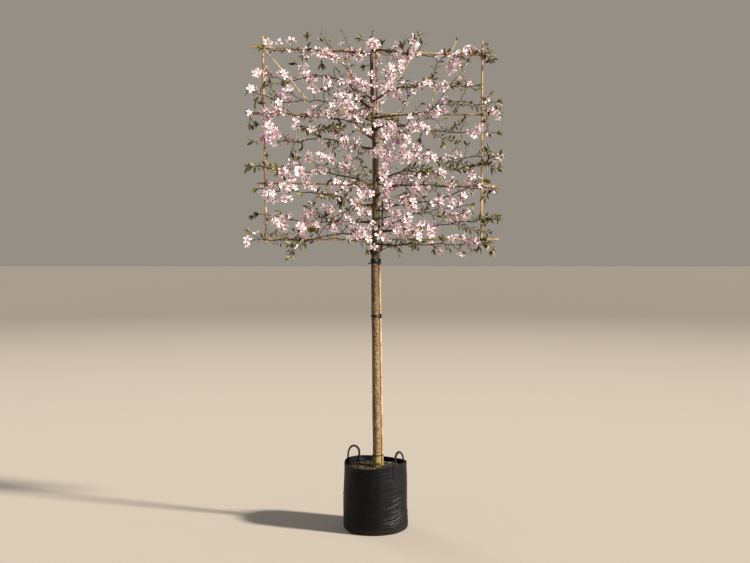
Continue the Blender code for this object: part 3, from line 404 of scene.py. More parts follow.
def finished(made, colour, **sockets):
    """The material, with its Principled shader's colour and other sockets fed."""
    feed(made.node_tree.nodes["Principled BSDF"], {"Base_Color": colour, **sockets})
    return made


def wave_repeat(metres):
    """Scale of a wave texture whose bands repeat after a length."""
    return pi / 10 / metres


def woven_bag_film():
    """Woven polyethylene tape under a black film: satin, creased, dusty where soil was."""
    made, add, place = start_finish("woven_bag_film")
    # Tapes are 2.5 mm wide; drawn 4 mm wide, because finer ones would not show
    warp = add("TexWave", Vector=place["UV"], Scale=wave_repeat(0.008), bands_direction="X", give=1)
    weft = add("TexWave", Vector=place["UV"], Scale=wave_repeat(0.008), bands_direction="Y", give=1)
    tapes = add("Math", {0: warp, 1: weft}, operation="MULTIPLY")
    # Creases as long as a hand, pressed flatter than they are long
    stretched = add("Mapping", Vector=place["UV"], Scale=(7, 22, 1))
    creases = add("TexNoise", Vector=stretched, Scale=1, Detail=4, Distortion=0.6)
    dust = add("TexNoise", Vector=place["Object"], Scale=16, Detail=6, Roughness=0.65)
    colour = add("ValToRGB", Fac=dust, stops=((0.3, "060607"), (0.55, "090a0b"), (0.8, "101113")))
    split = add("SeparateXYZ", Vector=place["Object"], give="Z")
    splash = add("MapRange", Value=split, From_Min=0.04, From_Max=0, To_Max=0.2)
    speckle = add("TexNoise", Vector=place["Object"], Scale=160)
    splashed = add("Math", {0: splash, 1: speckle}, operation="MULTIPLY")
    soiled = add("Mix", {0: splashed, 6: colour, 7: linear("6b6152")}, data_type="RGBA", give=2)
    sheen = add("MapRange", Value=dust, From_Min=0.3, From_Max=0.7, To_Min=0.44, To_Max=0.62)
    weave_bump = add("Bump", Strength=0.25, Distance=0.0006, Height=tapes)
    crease_bump = add("Bump", Strength=0.8, Distance=0.006, Height=creases, Normal=weave_bump)
    # The weave shades its own shine between the tapes
    return finished(made, soiled, IOR=1.45, Specular_IOR_Level=0.26,
                    Specular_Tint=linear("e4e7f7"), Roughness=sheen, Normal=crease_bump)


def ribbed_webbing():
    """Flat woven polypropylene webbing: dull black ribs across the strap."""
    made, add, place = start_finish("ribbed_webbing")
    # Ribs are 1.5 mm apart; drawn 2.5 mm apart, because finer ones would not show
    ribs = add("TexWave", Vector=place["UV"], Scale=wave_repeat(0.0025), Distortion=0.4,
               bands_direction="Y", give=1)
    yarns = add("TexWave", Vector=place["UV"], Scale=wave_repeat(0.002), bands_direction="X", give=1)
    cloth = add("Math", {0: ribs, 1: yarns}, operation="MULTIPLY")
    colour = add("ValToRGB", Fac=cloth, stops=((0, "050404"), (1, "0f0d0c")))
    bump = add("Bump", Strength=0.7, Distance=0.0006, Height=cloth)
    return finished(made, colour, IOR=1.49, Roughness=0.72, Specular_IOR_Level=0.25, Normal=bump)


def waxed_thread():
    """Waxed polyester sewing thread, grey-black, with a slight shine."""
    made, add, place = start_finish("waxed_thread")
    # Plies turn every 1.2 mm
    plies = add("TexWave", Vector=place["UV"], Scale=wave_repeat(0.0012), bands_direction="DIAGONAL",
                give=1)
    colour = add("ValToRGB", Fac=plies, stops=((0, "2a2928"), (1, "4b4947")))
    return finished(made, colour, Roughness=0.45, IOR=1.5)


def damp_compost():
    """Composted bark, damp and crumbly: near black, with brown crumbs 2 to 6 mm across."""
    made, add, place = start_finish("damp_compost")
    crumbs = add("TexVoronoi", Vector=place["Object"], Scale=210, Randomness=1)
    damp = add("TexNoise", Vector=place["Object"], Scale=34, Detail=6)
    blend = add("Math", {0: crumbs, 1: damp}, operation="MULTIPLY")
    colour = add("ValToRGB", Fac=blend, stops=((0.05, "2e2216"), (0.22, "140f0a"), (0.45, "070504")))
    bump = add("Bump", Strength=1, Distance=0.003, Height=crumbs, invert=True)
    return finished(made, colour, Roughness=0.92, IOR=1.45, Normal=bump)


def bark_chip(name, dark, pale):
    """A chip of shredded pine bark: fibrous along its length, dry and dull."""
    made, add, place = start_finish(name)
    fibres = add("TexNoise", Vector=place["Object"], Scale=260, Detail=5, Distortion=1.2)
    colour = add("ValToRGB", Fac=fibres, stops=((0.35, dark), (0.7, pale)))
    bump = add("Bump", Strength=0.6, Distance=0.0008, Height=fibres)
    return finished(made, colour, Roughness=0.88, IOR=1.45, Normal=bump)


def lenticel_bark():
    """Smooth young almond bark: grey-green skin on tan, crossed by corky pores and patches of
    green algae; upwards browner and darker, and in the crown darkened by painted shade."""
    made, add, place = start_finish("lenticel_bark")
    split = add("SeparateXYZ", Vector=place["Object"], give="Z")
    patches = add("TexNoise", Vector=place["Object"], Scale=78, Detail=6, Roughness=0.72)
    skin = add("ValToRGB", Fac=patches,
               stops=((0.34, "281e13"), (0.46, "56442c"), (0.56, "7d6746"), (0.66, "ad966c")))
    algae = add("TexNoise", Vector=place["Object"], Scale=9, Detail=3)
    algae_share = add("MapRange", Value=algae, From_Min=0.48, From_Max=0.68, To_Max=0.4)
    green = add("Mix", {0: algae_share, 6: skin, 7: linear("6a6b40")}, data_type="RGBA", give=2)
    # Crusts of pale lichen, 4 to 9 mm across
    crusts = add("TexNoise", Vector=place["Object"], Scale=130, Detail=3, Roughness=0.55)
    crust_share = add("MapRange", Value=crusts, From_Min=0.57, From_Max=0.63, To_Max=0.62)
    crusted = add("Mix", {0: crust_share, 6: green, 7: linear("b5ab94")}, data_type="RGBA", give=2)
    # The foot, kept damp by the bag, is yellow-green
    foot = add("MapRange", Value=split, From_Min=0.46, From_Max=0.41, To_Max=0.55)
    footed = add("Mix", {0: foot, 6: crusted, 7: linear("9a8f45")}, data_type="RGBA", give=2)
    # Upwards the bark turns browner and darker; in the crown this is painted shade of the crown
    height = add("MapRange", Value=split, From_Min=0.9, From_Max=1.76, To_Max=0.92,
                 interpolation_type="SMOOTHSTEP")
    upper_shaded_bark = add("ValToRGB", Fac=patches, stops=((0.3, "211a12"), (0.5, "48392a"), (0.7, "7d6a50")))
    upper_shaded = add("Mix", {0: height, 6: footed, 7: upper_shaded_bark}, data_type="RGBA", give=2)
    # Pores are slits 4 to 8 mm wide and 1 mm tall, so the pattern is squeezed in height
    slits = add("Mapping", Vector=place["Object"], Scale=(90, 90, 330))
    pores = add("TexVoronoi", Vector=slits, Scale=1)
    pore_share = add("MapRange", Value=pores, From_Min=0.3, From_Max=0.16, To_Max=0.65)
    pored = add("Mix", {0: pore_share, 6: upper_shaded, 7: linear("5a4a36")}, data_type="RGBA", give=2)
    relief = add("Math", {0: pore_share, 1: patches}, operation="ADD")
    bump = add("Bump", Strength=0.9, Distance=0.0016, Height=relief)
    return finished(made, pored, IOR=1.45, Roughness=0.74, Normal=bump)


def wood_bark(name, dark, middle, pale, roughness):
    """Thin bark of a bough or shoot, streaked along it and dotted with pores."""
    made, add, place = start_finish(name)
    streaks = add("TexNoise", Vector=place["Object"], Scale=70, Detail=6, Roughness=0.6)
    colour = add("ValToRGB", Fac=streaks, stops=((0.32, dark), (0.52, middle), (0.74, pale)))
    pores = add("TexVoronoi", Vector=place["Object"], Scale=260)
    bump = add("Bump", Strength=0.7, Distance=0.0008, Height=pores, invert=True)
    return finished(made, colour, Roughness=roughness, IOR=1.45, Normal=bump)


def dried_bamboo():
    """Dried tonkin cane: hard silica skin with a wax sheen, straw with long darker fibres
    and brown scorch spots."""
    made, add, place = start_finish("dried_bamboo")
    # Fibres run the length of the cane: 1.5 mm wide and some 60 mm long
    along = add("Mapping", Vector=place["UV"], Scale=(24, 16, 1))
    fibres = add("TexNoise", Vector=along, Scale=1, Detail=4)
    straw = add("ValToRGB", Fac=fibres, stops=((0.25, "8a7049"), (0.5, "b3946a"), (0.75, "d8ba91")))
    spots = add("TexNoise", Vector=place["Object"], Scale=42, Detail=4)
    spot_share = add("MapRange", Value=spots, From_Min=0.6, From_Max=0.74, To_Max=0.6)
    spotted = add("Mix", {0: spot_share, 6: straw, 7: linear("7d5a35")}, data_type="RGBA", give=2)
    bump = add("Bump", Strength=0.3, Distance=0.0006, Height=fibres)
    return finished(made, spotted, IOR=1.48, Roughness=0.42, Normal=bump)


def bamboo_joint():
    """The ring at a cane's joint, where the sheath was: corky and darker."""
    made, add, place = start_finish("bamboo_joint")
    cork = add("TexNoise", Vector=place["Object"], Scale=320, Detail=4)
    colour = add("ValToRGB", Fac=cork, stops=((0.3, "6d4f2f"), (0.7, "b08b59")))
    return finished(made, colour, Roughness=0.62, IOR=1.48)


def almond_petal(name, claw, blade, rim):
    """Thin, dry petal: matt, with veins 0.8 mm apart that fan from a darker claw."""
    made, add, place = start_finish(name)
    split = add("SeparateXYZ", Vector=place["UV"], give="Y")
    along = add("ValToRGB", Fac=split, stops=((0.06, claw), (0.3, blade), (1, rim)))
    veins = add("TexWave", Vector=place["UV"], Scale=wave_repeat(0.16), Distortion=0.8,
                bands_direction="X", give=1)
    vein_share = add("MapRange", Value=veins, From_Min=0.8, From_Max=1, To_Max=0.07)
    veined = add("Mix", {0: vein_share, 6: along, 7: linear(claw)}, data_type="RGBA", give=2)
    bump = add("Bump", Strength=0.1, Distance=0.0004, Height=veins)
    # A petal is a tenth of a millimetre thick, so it glows with the light behind it
    glow = add("BsdfTranslucent", Color=veined)
    nodes = made.node_tree.nodes
    thin = add("MixShader", {0: 0.26, 1: nodes["Principled BSDF"].outputs[0], 2: glow})
    feed(nodes["Material Output"], {"Surface": thin})
    return finished(made, veined, Roughness=0.62, IOR=1.4, Sheen_Weight=0.25, Normal=bump)


def almond_leaf(name, blade, rib):
    """Young almond leaf: narrow, folded, slightly waxy, with a paler rib and paler mottles."""
    made, add, place = start_finish(name)
    split = add("SeparateXYZ", Vector=place["UV"], give="X")
    off_rib = add("Math", {0: split, 1: 0.5}, operation="SUBTRACT")
    rib_distance = add("Math", {0: off_rib}, operation="ABSOLUTE")
    colour = add("ValToRGB", Fac=rib_distance, stops=((0, rib), (0.1, blade), (0.5, blade)))
    mottle = add("TexNoise", Vector=place["Object"], Scale=95)
    mottle_share = add("MapRange", Value=mottle, From_Min=0.4, From_Max=0.7, To_Max=0.45)
    mottled = add("Mix", {0: mottle_share, 6: colour, 7: linear(rib)}, data_type="RGBA", give=2)
    return finished(made, mottled, Roughness=0.48, IOR=1.42)


def soft_part(name, dark, pale, roughness):
    """A small living part, such as a calyx or a bud, with a fine down on its skin."""
    made, add, place = start_finish(name)
    down = add("TexNoise", Vector=place["Object"], Scale=420, Detail=2)
    colour = add("ValToRGB", Fac=down, stops=((0.3, dark), (0.7, pale)))
    return finished(made, colour, Roughness=roughness, IOR=1.42, Sheen_Weight=0.2)


def tie_rubber():
    """Extruded rubber tree tie: black, dull, with a faint ribbing along its length."""
    made, add, place = start_finish("tie_rubber")
    # Ribs 2 mm apart from the die
    ribs = add("TexWave", Vector=place["Object"], Scale=wave_repeat(0.002), bands_direction="Z", give=1)
    colour = add("ValToRGB", Fac=ribs, stops=((0, "040404"), (1, "0c0b0a")))
    bump = add("Bump", Strength=0.5, Distance=0.0005, Height=ribs)
    return finished(made, colour, Roughness=0.42, IOR=1.52, Specular_IOR_Level=0.3, Normal=bump)


def galvanised_buckle():
    """Galvanised steel of the ties' studs: bright grey metal, brushed by wear."""
    made, add, place = start_finish("galvanised_buckle")
    spangle = add("TexVoronoi", Vector=place["Object"], Scale=400)
    colour = add("ValToRGB", Fac=spangle, stops=((0, "9a9c9c"), (1, "c9cbc9")))
    return finished(made, colour, Metallic=1, Roughness=0.35)


def tarred_twine():
    """Three-ply tarred jute twine, dark brown, hairy and dull."""
    made, add, place = start_finish("tarred_twine")
    # Plies turn every 3 mm
    plies = add("TexWave", Vector=place["Object"], Scale=wave_repeat(0.003), Distortion=1,
                bands_direction="DIAGONAL", give=1)
    colour = add("ValToRGB", Fac=plies, stops=((0, "1f1812"), (1, "4d3b29")))
    bump = add("Bump", Strength=0.8, Distance=0.0008, Height=plies)
    return finished(made, colour, Roughness=0.85, IOR=1.45, Normal=bump)


def studio_floor():
    """Matt pale paper floor, that falls to the backdrop's grey a long way off."""
    made, add, place = start_finish("studio_floor")
    distance = add("VectorMath", {0: place["Object"]}, operation="LENGTH", give="Value")
    far = add("MapRange", Value=distance, From_Min=3, From_Max=26, interpolation_type="SMOOTHSTEP")
    colour = add("ValToRGB", Fac=far, stops=((0, "a5a19a"), (1, "76726c")))
    return finished(made, colour, Roughness=0.95)


# Joining many small pieces


def linked(name, data):
    """A new object in the scene."""
    item = bpy.data.objects.new(name, data)
    bpy.context.scene.collection.objects.link(item)
    return item


class Heap:
    """Small pieces gathered as arrays, to be joined as one mesh."""

    def __init__(self):
        self.spots = []
        self.corners = []
        self.sizes = []
        self.slots = []
        self.marks = []
        self.count = 0

    def add(self, spots, form, slot=0):
        """Vertices in place, with the corners, face sizes and corner marks of their form."""
        corners, sizes, marks = form
        self.spots.append(np.asarray(spots, float))
        self.corners.append(corners + self.count)
        self.sizes.append(sizes)
        self.slots.append(np.full(len(sizes), slot))
        self.marks.append(marks)
        self.count += len(spots)

    def piece(self, name, finishes, slot, *nodes, smooth=True):
        """One object of all that was gathered, which stands for CAD nodes."""
        mesh = bpy.data.meshes.new(name)
        spots = np.concatenate(self.spots)
        corners = np.concatenate(self.corners)
        sizes = np.concatenate(self.sizes)
        mesh.vertices.add(len(spots))
        mesh.vertices.foreach_set("co", spots.ravel())
        mesh.loops.add(len(corners))
        mesh.loops.foreach_set("vertex_index", corners)
        mesh.polygons.add(len(sizes))
        mesh.polygons.foreach_set("loop_start", np.concatenate(([0], np.cumsum(sizes)[:-1])))
        mesh.polygons.foreach_set("material_index", np.concatenate(self.slots))
        mesh.polygons.foreach_set("use_smooth", np.full(len(sizes), smooth))
        layer = mesh.uv_layers.new(name="UVMap")
        layer.data.foreach_set("uv", np.concatenate(self.marks).ravel())
        mesh.update(calc_edges=True)
        for made in finishes:
            mesh.materials.append(made)
        item = linked(name, mesh)
        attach(item, "root")
        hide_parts(*nodes)


def form_of(faces, marks):
    """Corners, face sizes and corner marks of a form whose marks lie on its vertices."""
    corners = np.array([spot for face in faces for spot in face])
    sizes = np.array([len(face) for face in faces])
    return corners, sizes, np.asarray(marks, float)[corners]


def ring_faces(rings, sides):
    """Faces between rings that close on themselves."""
    return [(low + side, low + (side + 1) % sides, low + sides + (side + 1) % sides, low + sides + side)
            for low in range(0, (rings - 1) * sides, sides) for side in range(sides)]


def blade_faces(rows):
    """Faces of a blade that is three spots wide."""
    return [(a, a + 3, a + 4, a + 1) for row in range(rows - 1) for a in (row * 3, row * 3 + 1)]


@cache
def tube_parts(rings, sides):
    """Corners and face sizes of a closed tube, and each corner's share of the girth and ring."""
    corners = [spot for face in ring_faces(rings, sides) for spot in face]
    shares, levels = [], []
    for ring in range(rings - 1):
        for side in range(sides):
            shares += [side / sides, (side + 1) / sides, (side + 1) / sides, side / sides]
            levels += [ring, ring, ring + 1, ring + 1]
    corners += [*range(sides)[::-1], *range((rings - 1) * sides, rings * sides)]
    sizes = [4] * ((rings - 1) * sides) + [sides, sides]
    shares += [0.5] * (2 * sides)
    levels += [0] * sides + [rings - 1] * sides
    return [np.array(part) for part in (corners, sizes, shares, levels)]


def tube_form(rings, sides, lengths, girth):
    """Form of a closed tube, marked by girth and by length in metres."""
    corners, sizes, shares, levels = tube_parts(rings, sides)
    marks = np.stack([shares * girth, np.asarray(lengths)[levels]], axis=1)
    return corners, sizes, marks


def round_at(radius, turn, level=0):
    """A place at a radius and a turn round an upright axis."""
    return radius * cos(turn), radius * sin(turn), level


def turns_of(count):
    """Turns that part a round evenly."""
    return [tau * step / count for step in range(count)]


def swell(share, power):
    """A share of a round, drawn out towards a square by a power under 1."""
    return copysign(abs(share) ** power, share)


def across(direction, hint):
    """Unit vector at right angles to a direction, nearest to the hint."""
    flat = hint - direction * hint.dot(direction)
    if flat.length < 1e-4:
        flat = direction.orthogonal()
    return flat.normalized()


def heading_at(points, place):
    """Which way a run of points heads at one of them."""
    return (points[min(place + 1, len(points) - 1)] - points[max(place - 1, 0)]).normalized()


def tube_spots(centres, radii, sides, hint=UP, relief=None):
    """Rings square to a run; relief gives a change of radius at (ring, turn)."""
    turns = np.arange(sides) * tau / sides
    wheel = np.stack([np.cos(turns), np.sin(turns)], axis=1)
    spots = []
    for place, (centre, radius) in enumerate(zip(centres, radii)):
        run = heading_at(centres, place)
        hint = across(run, hint)
        frame_axes = np.array([hint, run.cross(hint)])
        reach = np.full(sides, radius)
        if relief:
            reach = reach + np.array([relief(place, turn, centre) for turn in turns])
        spots.append(np.array(centre) + (wheel @ frame_axes) * reach[:, None])
    return np.concatenate(spots)


def lengths_of(centres):
    marks = [0]
    for a, b in zip(centres, centres[1:]):
        marks.append(marks[-1] + (b - a).length)
    return marks


def add_tube(heap, centres, radii, sides, slot=0, hint=UP, relief=None):
    """Put one closed tube on a heap."""
    form = tube_form(len(centres), sides, lengths_of(centres), tau * max(radii))
    heap.add(tube_spots(centres, radii, sides, hint, relief), form, slot)


def wander(seed, spot, scale):
    """Smooth seeded noise from -1 to 1 at a place."""
    return noise.noise(Vector(spot) * scale + Vector((seed * 7.3, seed * 3.1, seed * 5.7)))


# Planting bag, compost and straps


def wall_radius(height):
    """Outer radius of the filled bag's wall."""
    share = height / BAG_HEIGHT
    taper = BAG_FOOT_RADIUS + (BAG_RIM_RADIUS - BAG_FOOT_RADIUS) * share
    return taper + BAG_BULGE * sin(pi * share)


def rim_lift(angle, height):
    """How far the soft wall is pulled up at the straps, or sags at the front."""
    if height <= LIFT_START:
        return 0
    pull = RIM_LIFT * cos(2 * (angle - HANDLES["handle_left"][0]))
    off = remainder(angle - SAG_ANGLE, tau)
    sag = RIM_SAG * exp(-((off / SAG_SPREAD) ** 2))
    return (pull - sag) * (height - LIFT_START) / (BAG_HEIGHT - LIFT_START)


# Creases pressed into the wall: middle angle, height, half length in metres, slant, depth
CREASES = (
    (-62, 0.176, 0.085, 0.3, 0.004), (-44, 0.204, 0.05, 0.22, 0.003),
    (-50, 0.128, 0.06, 0.16, 0.0034), (-38, 0.098, 0.052, 0.42, 0.0036),
    (-66, 0.09, 0.05, 0.12, 0.0026), (-54, 0.06, 0.046, 0.05, 0.003),
    (-30, 0.15, 0.04, -0.2, 0.0028), (-72, 0.235, 0.05, 0.1, 0.0018),
    (-90, 0.11, 0.07, 0.12, 0.002), (-84, 0.352, 0.055, 0.14, 0.002),
    (-70, 0.332, 0.045, 0.24, 0.0018), (-98, 0.3, 0.06, -0.06, 0.0014),
    (-56, 0.192, 0.06, 0.34, 0.0024), (-40, 0.176, 0.04, 0.26, 0.0024),
    (-36, 0.142, 0.036, 0.34, 0.0024), (-58, 0.15, 0.044, 0.2, 0.0022),
    (-48, 0.106, 0.04, 0.3, 0.0026), (-32, 0.07, 0.034, 0.5, 0.0026),
    (-64, 0.046, 0.044, 0.06, 0.002), (-76, 0.15, 0.046, 0.16, 0.0016),
    (-46, 0.25, 0.036, 0.3, 0.0016), (-34, 0.3, 0.05, 0.5, 0.0014),
    (-118, 0.16, 0.06, -0.2, 0.0022), (-140, 0.09, 0.055, 0.1, 0.0026),
    (-10, 0.1, 0.06, 0.25, 0.0034), (18, 0.17, 0.07, -0.15, 0.003),
    (48, 0.095, 0.06, 0.2, 0.0034), (82, 0.15, 0.08, 0.1, 0.003),
    (110, 0.08, 0.06, -0.22, 0.0034), (150, 0.13, 0.07, 0.18, 0.003),
    (176, 0.21, 0.06, -0.1, 0.0024),
)


def wall_dent(angle, height):
    """How far the filled film stands in or out of its plain round."""
    low = exp(-((height - 0.045) / 0.035) ** 2)
    slump = 0.003 * low * (1 + 0.6 * sin(5 * angle + 0.8))
    dent = slump + 0.0034 * wander(1, round_at(1, angle, height * 3), 1.9)
    dent += 0.0014 * wander(2, (angle * 3.2, height * 1.2, 0), 1)
    for middle, level, half, slant, depth in CREASES:
        off = remainder(angle - radians(middle), tau) * BAG_FOOT_RADIUS
        rise = height - level - slant * off
        along = off / half
        if abs(along) < 1.6 and abs(rise) < 0.05:
            fade = exp(-(along ** 4))
            ridge = exp(-((rise / 0.0042) ** 2)) - 0.8 * exp(-(((rise + 0.0085) / 0.005) ** 2))
            dent += CREASE_PRESS * depth * fade * ridge
    seam = remainder(angle - SEAM_ANGLE, tau) * BAG_RIM_RADIUS
    if height > SEAM_FOOT:
        dent -= 0.0042 * exp(-((seam / 0.003) ** 2)) * min((height - SEAM_FOOT) / 0.02, 1)
    hem = 1 / (1 + exp((BAG_HEIGHT - HEM_HEIGHT - height) / 0.0008))
    return dent + hem * (0.001 + 0.0022 * wander(3, round_at(1, angle), 3))


def bag_shell():
    """A lofted shell: soft foot, bulging creased wall, folded hem and inner face."""
    sides = 360
    corner = wall_radius(BAG_EDGE_RADIUS) - BAG_EDGE_RADIUS
    rows = [(0.02, 0.0006, 0), (corner * 0.6, 0.0004, 0)]
    for step in range(9):
        turn = radians(90 * step / 8)
        reach = corner + BAG_EDGE_RADIUS * sin(turn)
        rows.append((reach, BAG_EDGE_RADIUS * (1 - cos(turn)), sin(turn)))
    level = BAG_EDGE_RADIUS
    while level < BAG_HEIGHT - 0.004:
        level += 0.003
        rows.append((wall_radius(level), level, 1))
    # The rim turns over in a roll 3 mm thick and runs down the inner face
    for step in range(1, 6):
        turn = pi * step / 6
        middle = wall_radius(BAG_HEIGHT) - BAG_WALL / 2
        rows.append((middle + cos(turn) * 0.0015, BAG_HEIGHT - 0.0015 + sin(turn) * 0.0015, 1))
    level = BAG_HEIGHT - 0.003
    while level > SOIL_EDGE - 0.02:
        rows.append((wall_radius(level) - BAG_WALL, level, 1))
        level -= 0.005
    turns = turns_of(sides)
    spots = []
    for reach, level, share in rows:
        for turn in turns:
            radius = reach + wall_dent(turn, level) * share
            spots.append(round_at(radius, turn, level + rim_lift(turn, level)))
    lengths = lengths_of([Vector(row[:2]) for row in rows])
    corners, sizes, marks = tube_form(len(rows), sides, lengths, tau * BAG_FOOT_RADIUS)
    heap = Heap()
    # The inner face stays open at its end, under the compost
    heap.add(spots, (corners[:-sides], sizes[:-1], marks[:-sides]))
    heap.piece("bag_shell", [woven_bag_film()], "bag_plastic", "bag")


def wall_spot(angle, height, out):
    """A place on the bag's outer face."""
    radius = wall_radius(height) + wall_dent(angle, height) + out
    return Vector(round_at(radius, angle, height + rim_lift(angle, height)))


def stitch(heap, start, end):
    """One stitch that stands a little off the wall between two places of (turn, height)."""
    path = []
    for part in (0, 0.33, 0.67, 1):
        turn, level = (a + (b - a) * part for a, b in zip(start, end))
        path.append(wall_spot(turn, level, 0.0004 * (1 - (2 * part - 1) ** 2)))
    add_tube(heap, path, [STITCH_RADIUS] * 4, 5)


def bag_stitches():
    """A row of stitches under the hem, and the side seam's two rows."""
    heap = Heap()
    count = round(tau * BAG_RIM_RADIUS / STITCH_PITCH)
    for step in range(count):
        start = tau * step / count
        level = BAG_HEIGHT - HEM_HEIGHT + 0.004
        stitch(heap, (start, level), (start + 0.62 * tau / count, level))
    for side in (-1, 1):
        angle = SEAM_ANGLE + side * 0.0046 / BAG_RIM_RADIUS
        level = SEAM_FOOT + 0.006
        while level < BAG_HEIGHT - 0.006:
            stitch(heap, (angle, level), (angle, level + 0.0046))
            level += STITCH_PITCH
    heap.piece("bag_stitches", [waxed_thread()], "bag_plastic", "bag")


def soil_height(radius, angle):
    """Surface of the compost: level round the trunk, uneven towards the wall."""
    edge = wall_radius(SOIL_EDGE) - BAG_WALL
    rows = ((SOIL_LEVEL_RADIUS, SOIL_TOP), (SOIL_CREST_RADIUS, SOIL_CREST), (edge, SOIL_EDGE))
    base = np.interp(radius, *zip(*rows))
    spot = round_at(radius, angle)
    rough = 0.0032 * wander(5, spot, 28) + 0.0016 * wander(6, spot, 90)
    return base + rough * min(1, radius / 0.03)


def compost_surface():
    """The compost's crumbly top, with a low skirt down the bag's inside."""
    rings, sides = 46, 132
    edge = wall_radius(SOIL_EDGE) - BAG_WALL - 0.0006
    turns = turns_of(sides)
    spots = [(0, 0, SOIL_TOP)]
    for ring in range(1, rings + 1):
        radius = edge * ring / rings
        spots += [round_at(radius, turn, soil_height(radius, turn)) for turn in turns]
    spots += [round_at(edge, turn, SOIL_EDGE - 0.014) for turn in turns]
    faces = []
    for side in range(sides):
        ahead = (side + 1) % sides
        faces.append((0, 1 + side, 1 + ahead))
        for ring in range(rings):
            low, high = 1 + ring * sides, 1 + (ring + 1) * sides
            faces.append((low + side, high + side, high + ahead, low + ahead))
    heap = Heap()
    heap.add(spots, form_of(faces, [spot[:2] for spot in spots]))
    heap.piece("compost_surface", [damp_compost()], "compost", "compost")


def bark_mulch():
    """Shredded bark chips, 6 to 26 mm long, lying in the compost's surface."""
    rng = random.Random(21)
    heap = Heap()
    edge = wall_radius(SOIL_EDGE) - BAG_WALL - 0.012
    for _ in range(CHIP_COUNT):
        radius = edge * sqrt(rng.uniform(0.02, 1))
        angle = rng.uniform(0, tau)
        length = rng.uniform(0.006, 0.026) * (0.6 + 0.4 * rng.random())
        width = length * rng.uniform(0.28, 0.6)
        thick = rng.uniform(0.0012, 0.0036)
        outline = []
        n = rng.choice((5, 6, 7))
        for turn in turns_of(n):
            reach = rng.uniform(0.75, 1.1)
            outline.append((cos(turn) * length / 2 * reach, sin(turn) * width / 2 * reach))
        heading = rng.uniform(0, tau)
        tilt = Vector((rng.uniform(-0.35, 0.35), rng.uniform(-0.35, 0.35), 1)).normalized()
        ahead = across(tilt, Vector(round_at(1, heading)))
        beside = tilt.cross(ahead)
        level = soil_height(radius, angle) + rng.uniform(0.0002, 0.0022)
        centre = Vector(round_at(radius, angle, level))
        spots = []
        for high in (-0.5, 0.5):
            shrink = 1 if high < 0 else 0.82
            for x, y in outline:
                spots.append(centre + (ahead * x + beside * y) * shrink + tilt * thick * high)
        faces = [tuple(range(n))[::-1], tuple(range(n, 2 * n))]
        faces += [(c, (c + 1) % n, n + (c + 1) % n, n + c) for c in range(n)]
        heap.add(spots, form_of(faces, [(0, 0)] * (2 * n)), rng.choice((0, 0, 1, 1, 1, 2)))
    finishes = [
        bark_chip("bark_chip_dark", "0f0b08", "241b12"),
        bark_chip("bark_chip_brown", "2a2013", "5a4a30"),
        bark_chip("bark_chip_dry", "5c4c33", "93805a"),
    ]
    heap.piece("bark_mulch", finishes, "compost", "compost", smooth=False)


def strap_point(name, along, height, depth):
    """A point of a strap: along the wall, up, and in from the wall's inner face."""
    bearing, top, lean, _ = HANDLES[name]
    wall = wall_radius(min(height, BAG_HEIGHT)) - BAG_WALL
    face = wall * cos(pi / BAG_SIDES) - SOFT_SEAT
    free = max(height - BAG_HEIGHT, 0) / (top - BAG_HEIGHT)
    radius = face - depth - lean * free * free
    return Vector(round_at(radius, bearing + along / BAG_RIM_RADIUS, height))


def strap_path(name):
    """Middle line of a strap as (along the wall, height): a leg, an arch and a leg."""
    steps = 40
    _, top, _, half = HANDLES[name]
    rise = top - STRAP_WIDTH / 2 - HANDLE_SPRING
    path = [(half, HANDLE_FOOT + part * (HANDLE_SPRING - HANDLE_FOOT) / 10)
            for part in range(10)]
    for step in range(steps + 1):
        turn = pi * step / steps
        path.append((half * cos(turn), HANDLE_SPRING + rise * sin(turn)))
    path += [(-x, z) for x, z in path[:10][::-1]]
    return [Vector(spot) for spot in path]


def carrying_strap(name):
    """A flat webbing loop with soft edges, its legs sewn to the wall's inner face."""
    path = strap_path(name)
    # Two layers sewn together, fuller than the plain strap on its inner side
    thick = STRAP_THICKNESS + STRAP_FULLNESS
    profile = []
    for turn in turns_of(STRAP_SIDES):
        wide = swell(cos(turn), 0.35) / 2 * (STRAP_WIDTH + 0.0008)
        profile.append((wide, swell(sin(turn), 0.6) / 2 * thick))
    spots = []
    for place, (along, height) in enumerate(path):
        run = heading_at(path, place)
        out = Vector((run.y, -run.x))
        for side, depth in profile:
            spots.append(strap_point(name, along + side * out.x, height + side * out.y,
                                     thick / 2 + depth))
    heap = Heap()
    heap.add(spots, tube_form(len(path), STRAP_SIDES, lengths_of(path), 2 * STRAP_WIDTH))
    for side in (-1, 1):
        for row in (-0.3, 0.3):
            for step in range(4):
                level = HANDLE_FOOT + 0.004 + step * 0.005
                along = side * HANDLES[name][3] + row * STRAP_WIDTH
                ends = [strap_point(name, along, level + rise, thick + 0.0002)
                        for rise in (0, 0.0015, 0.003)]
                add_tube(heap, ends, [STITCH_RADIUS] * 3, 5, 1)
    heap.piece(f"strap_{name[7:]}", STRAP_FINISHES, "webbing", name)


# Trunk


def trunk_at(height):
    """Middle of the trunk and its radius at a height."""
    rows = TRUNK_ROWS
    place = 0
    while place < len(rows) - 2 and rows[place + 1][0] < height:
        place += 1
    low, high = rows[place], rows[place + 1]
    part = min(max((height - low[0]) / (high[0] - low[0]), 0), 1)
    ease = part * part * (3 - 2 * part)
    across_x = low[1] + (high[1] - low[1]) * ease
    radius = (low[2] + (high[2] - low[2]) * part) / 2
    radius += FLARE * exp(-(height - rows[0][0]) / FLARE_HEIGHT)
    return Vector((across_x, 0, height)), radius


def trunk_heading(height):
    """Which way the trunk leans at a height, over about a collar's length."""
    low = trunk_at(height - COLLAR_LENGTH)[0]
    high = trunk_at(height + COLLAR_LENGTH)[0]
    return (high - low).normalized()


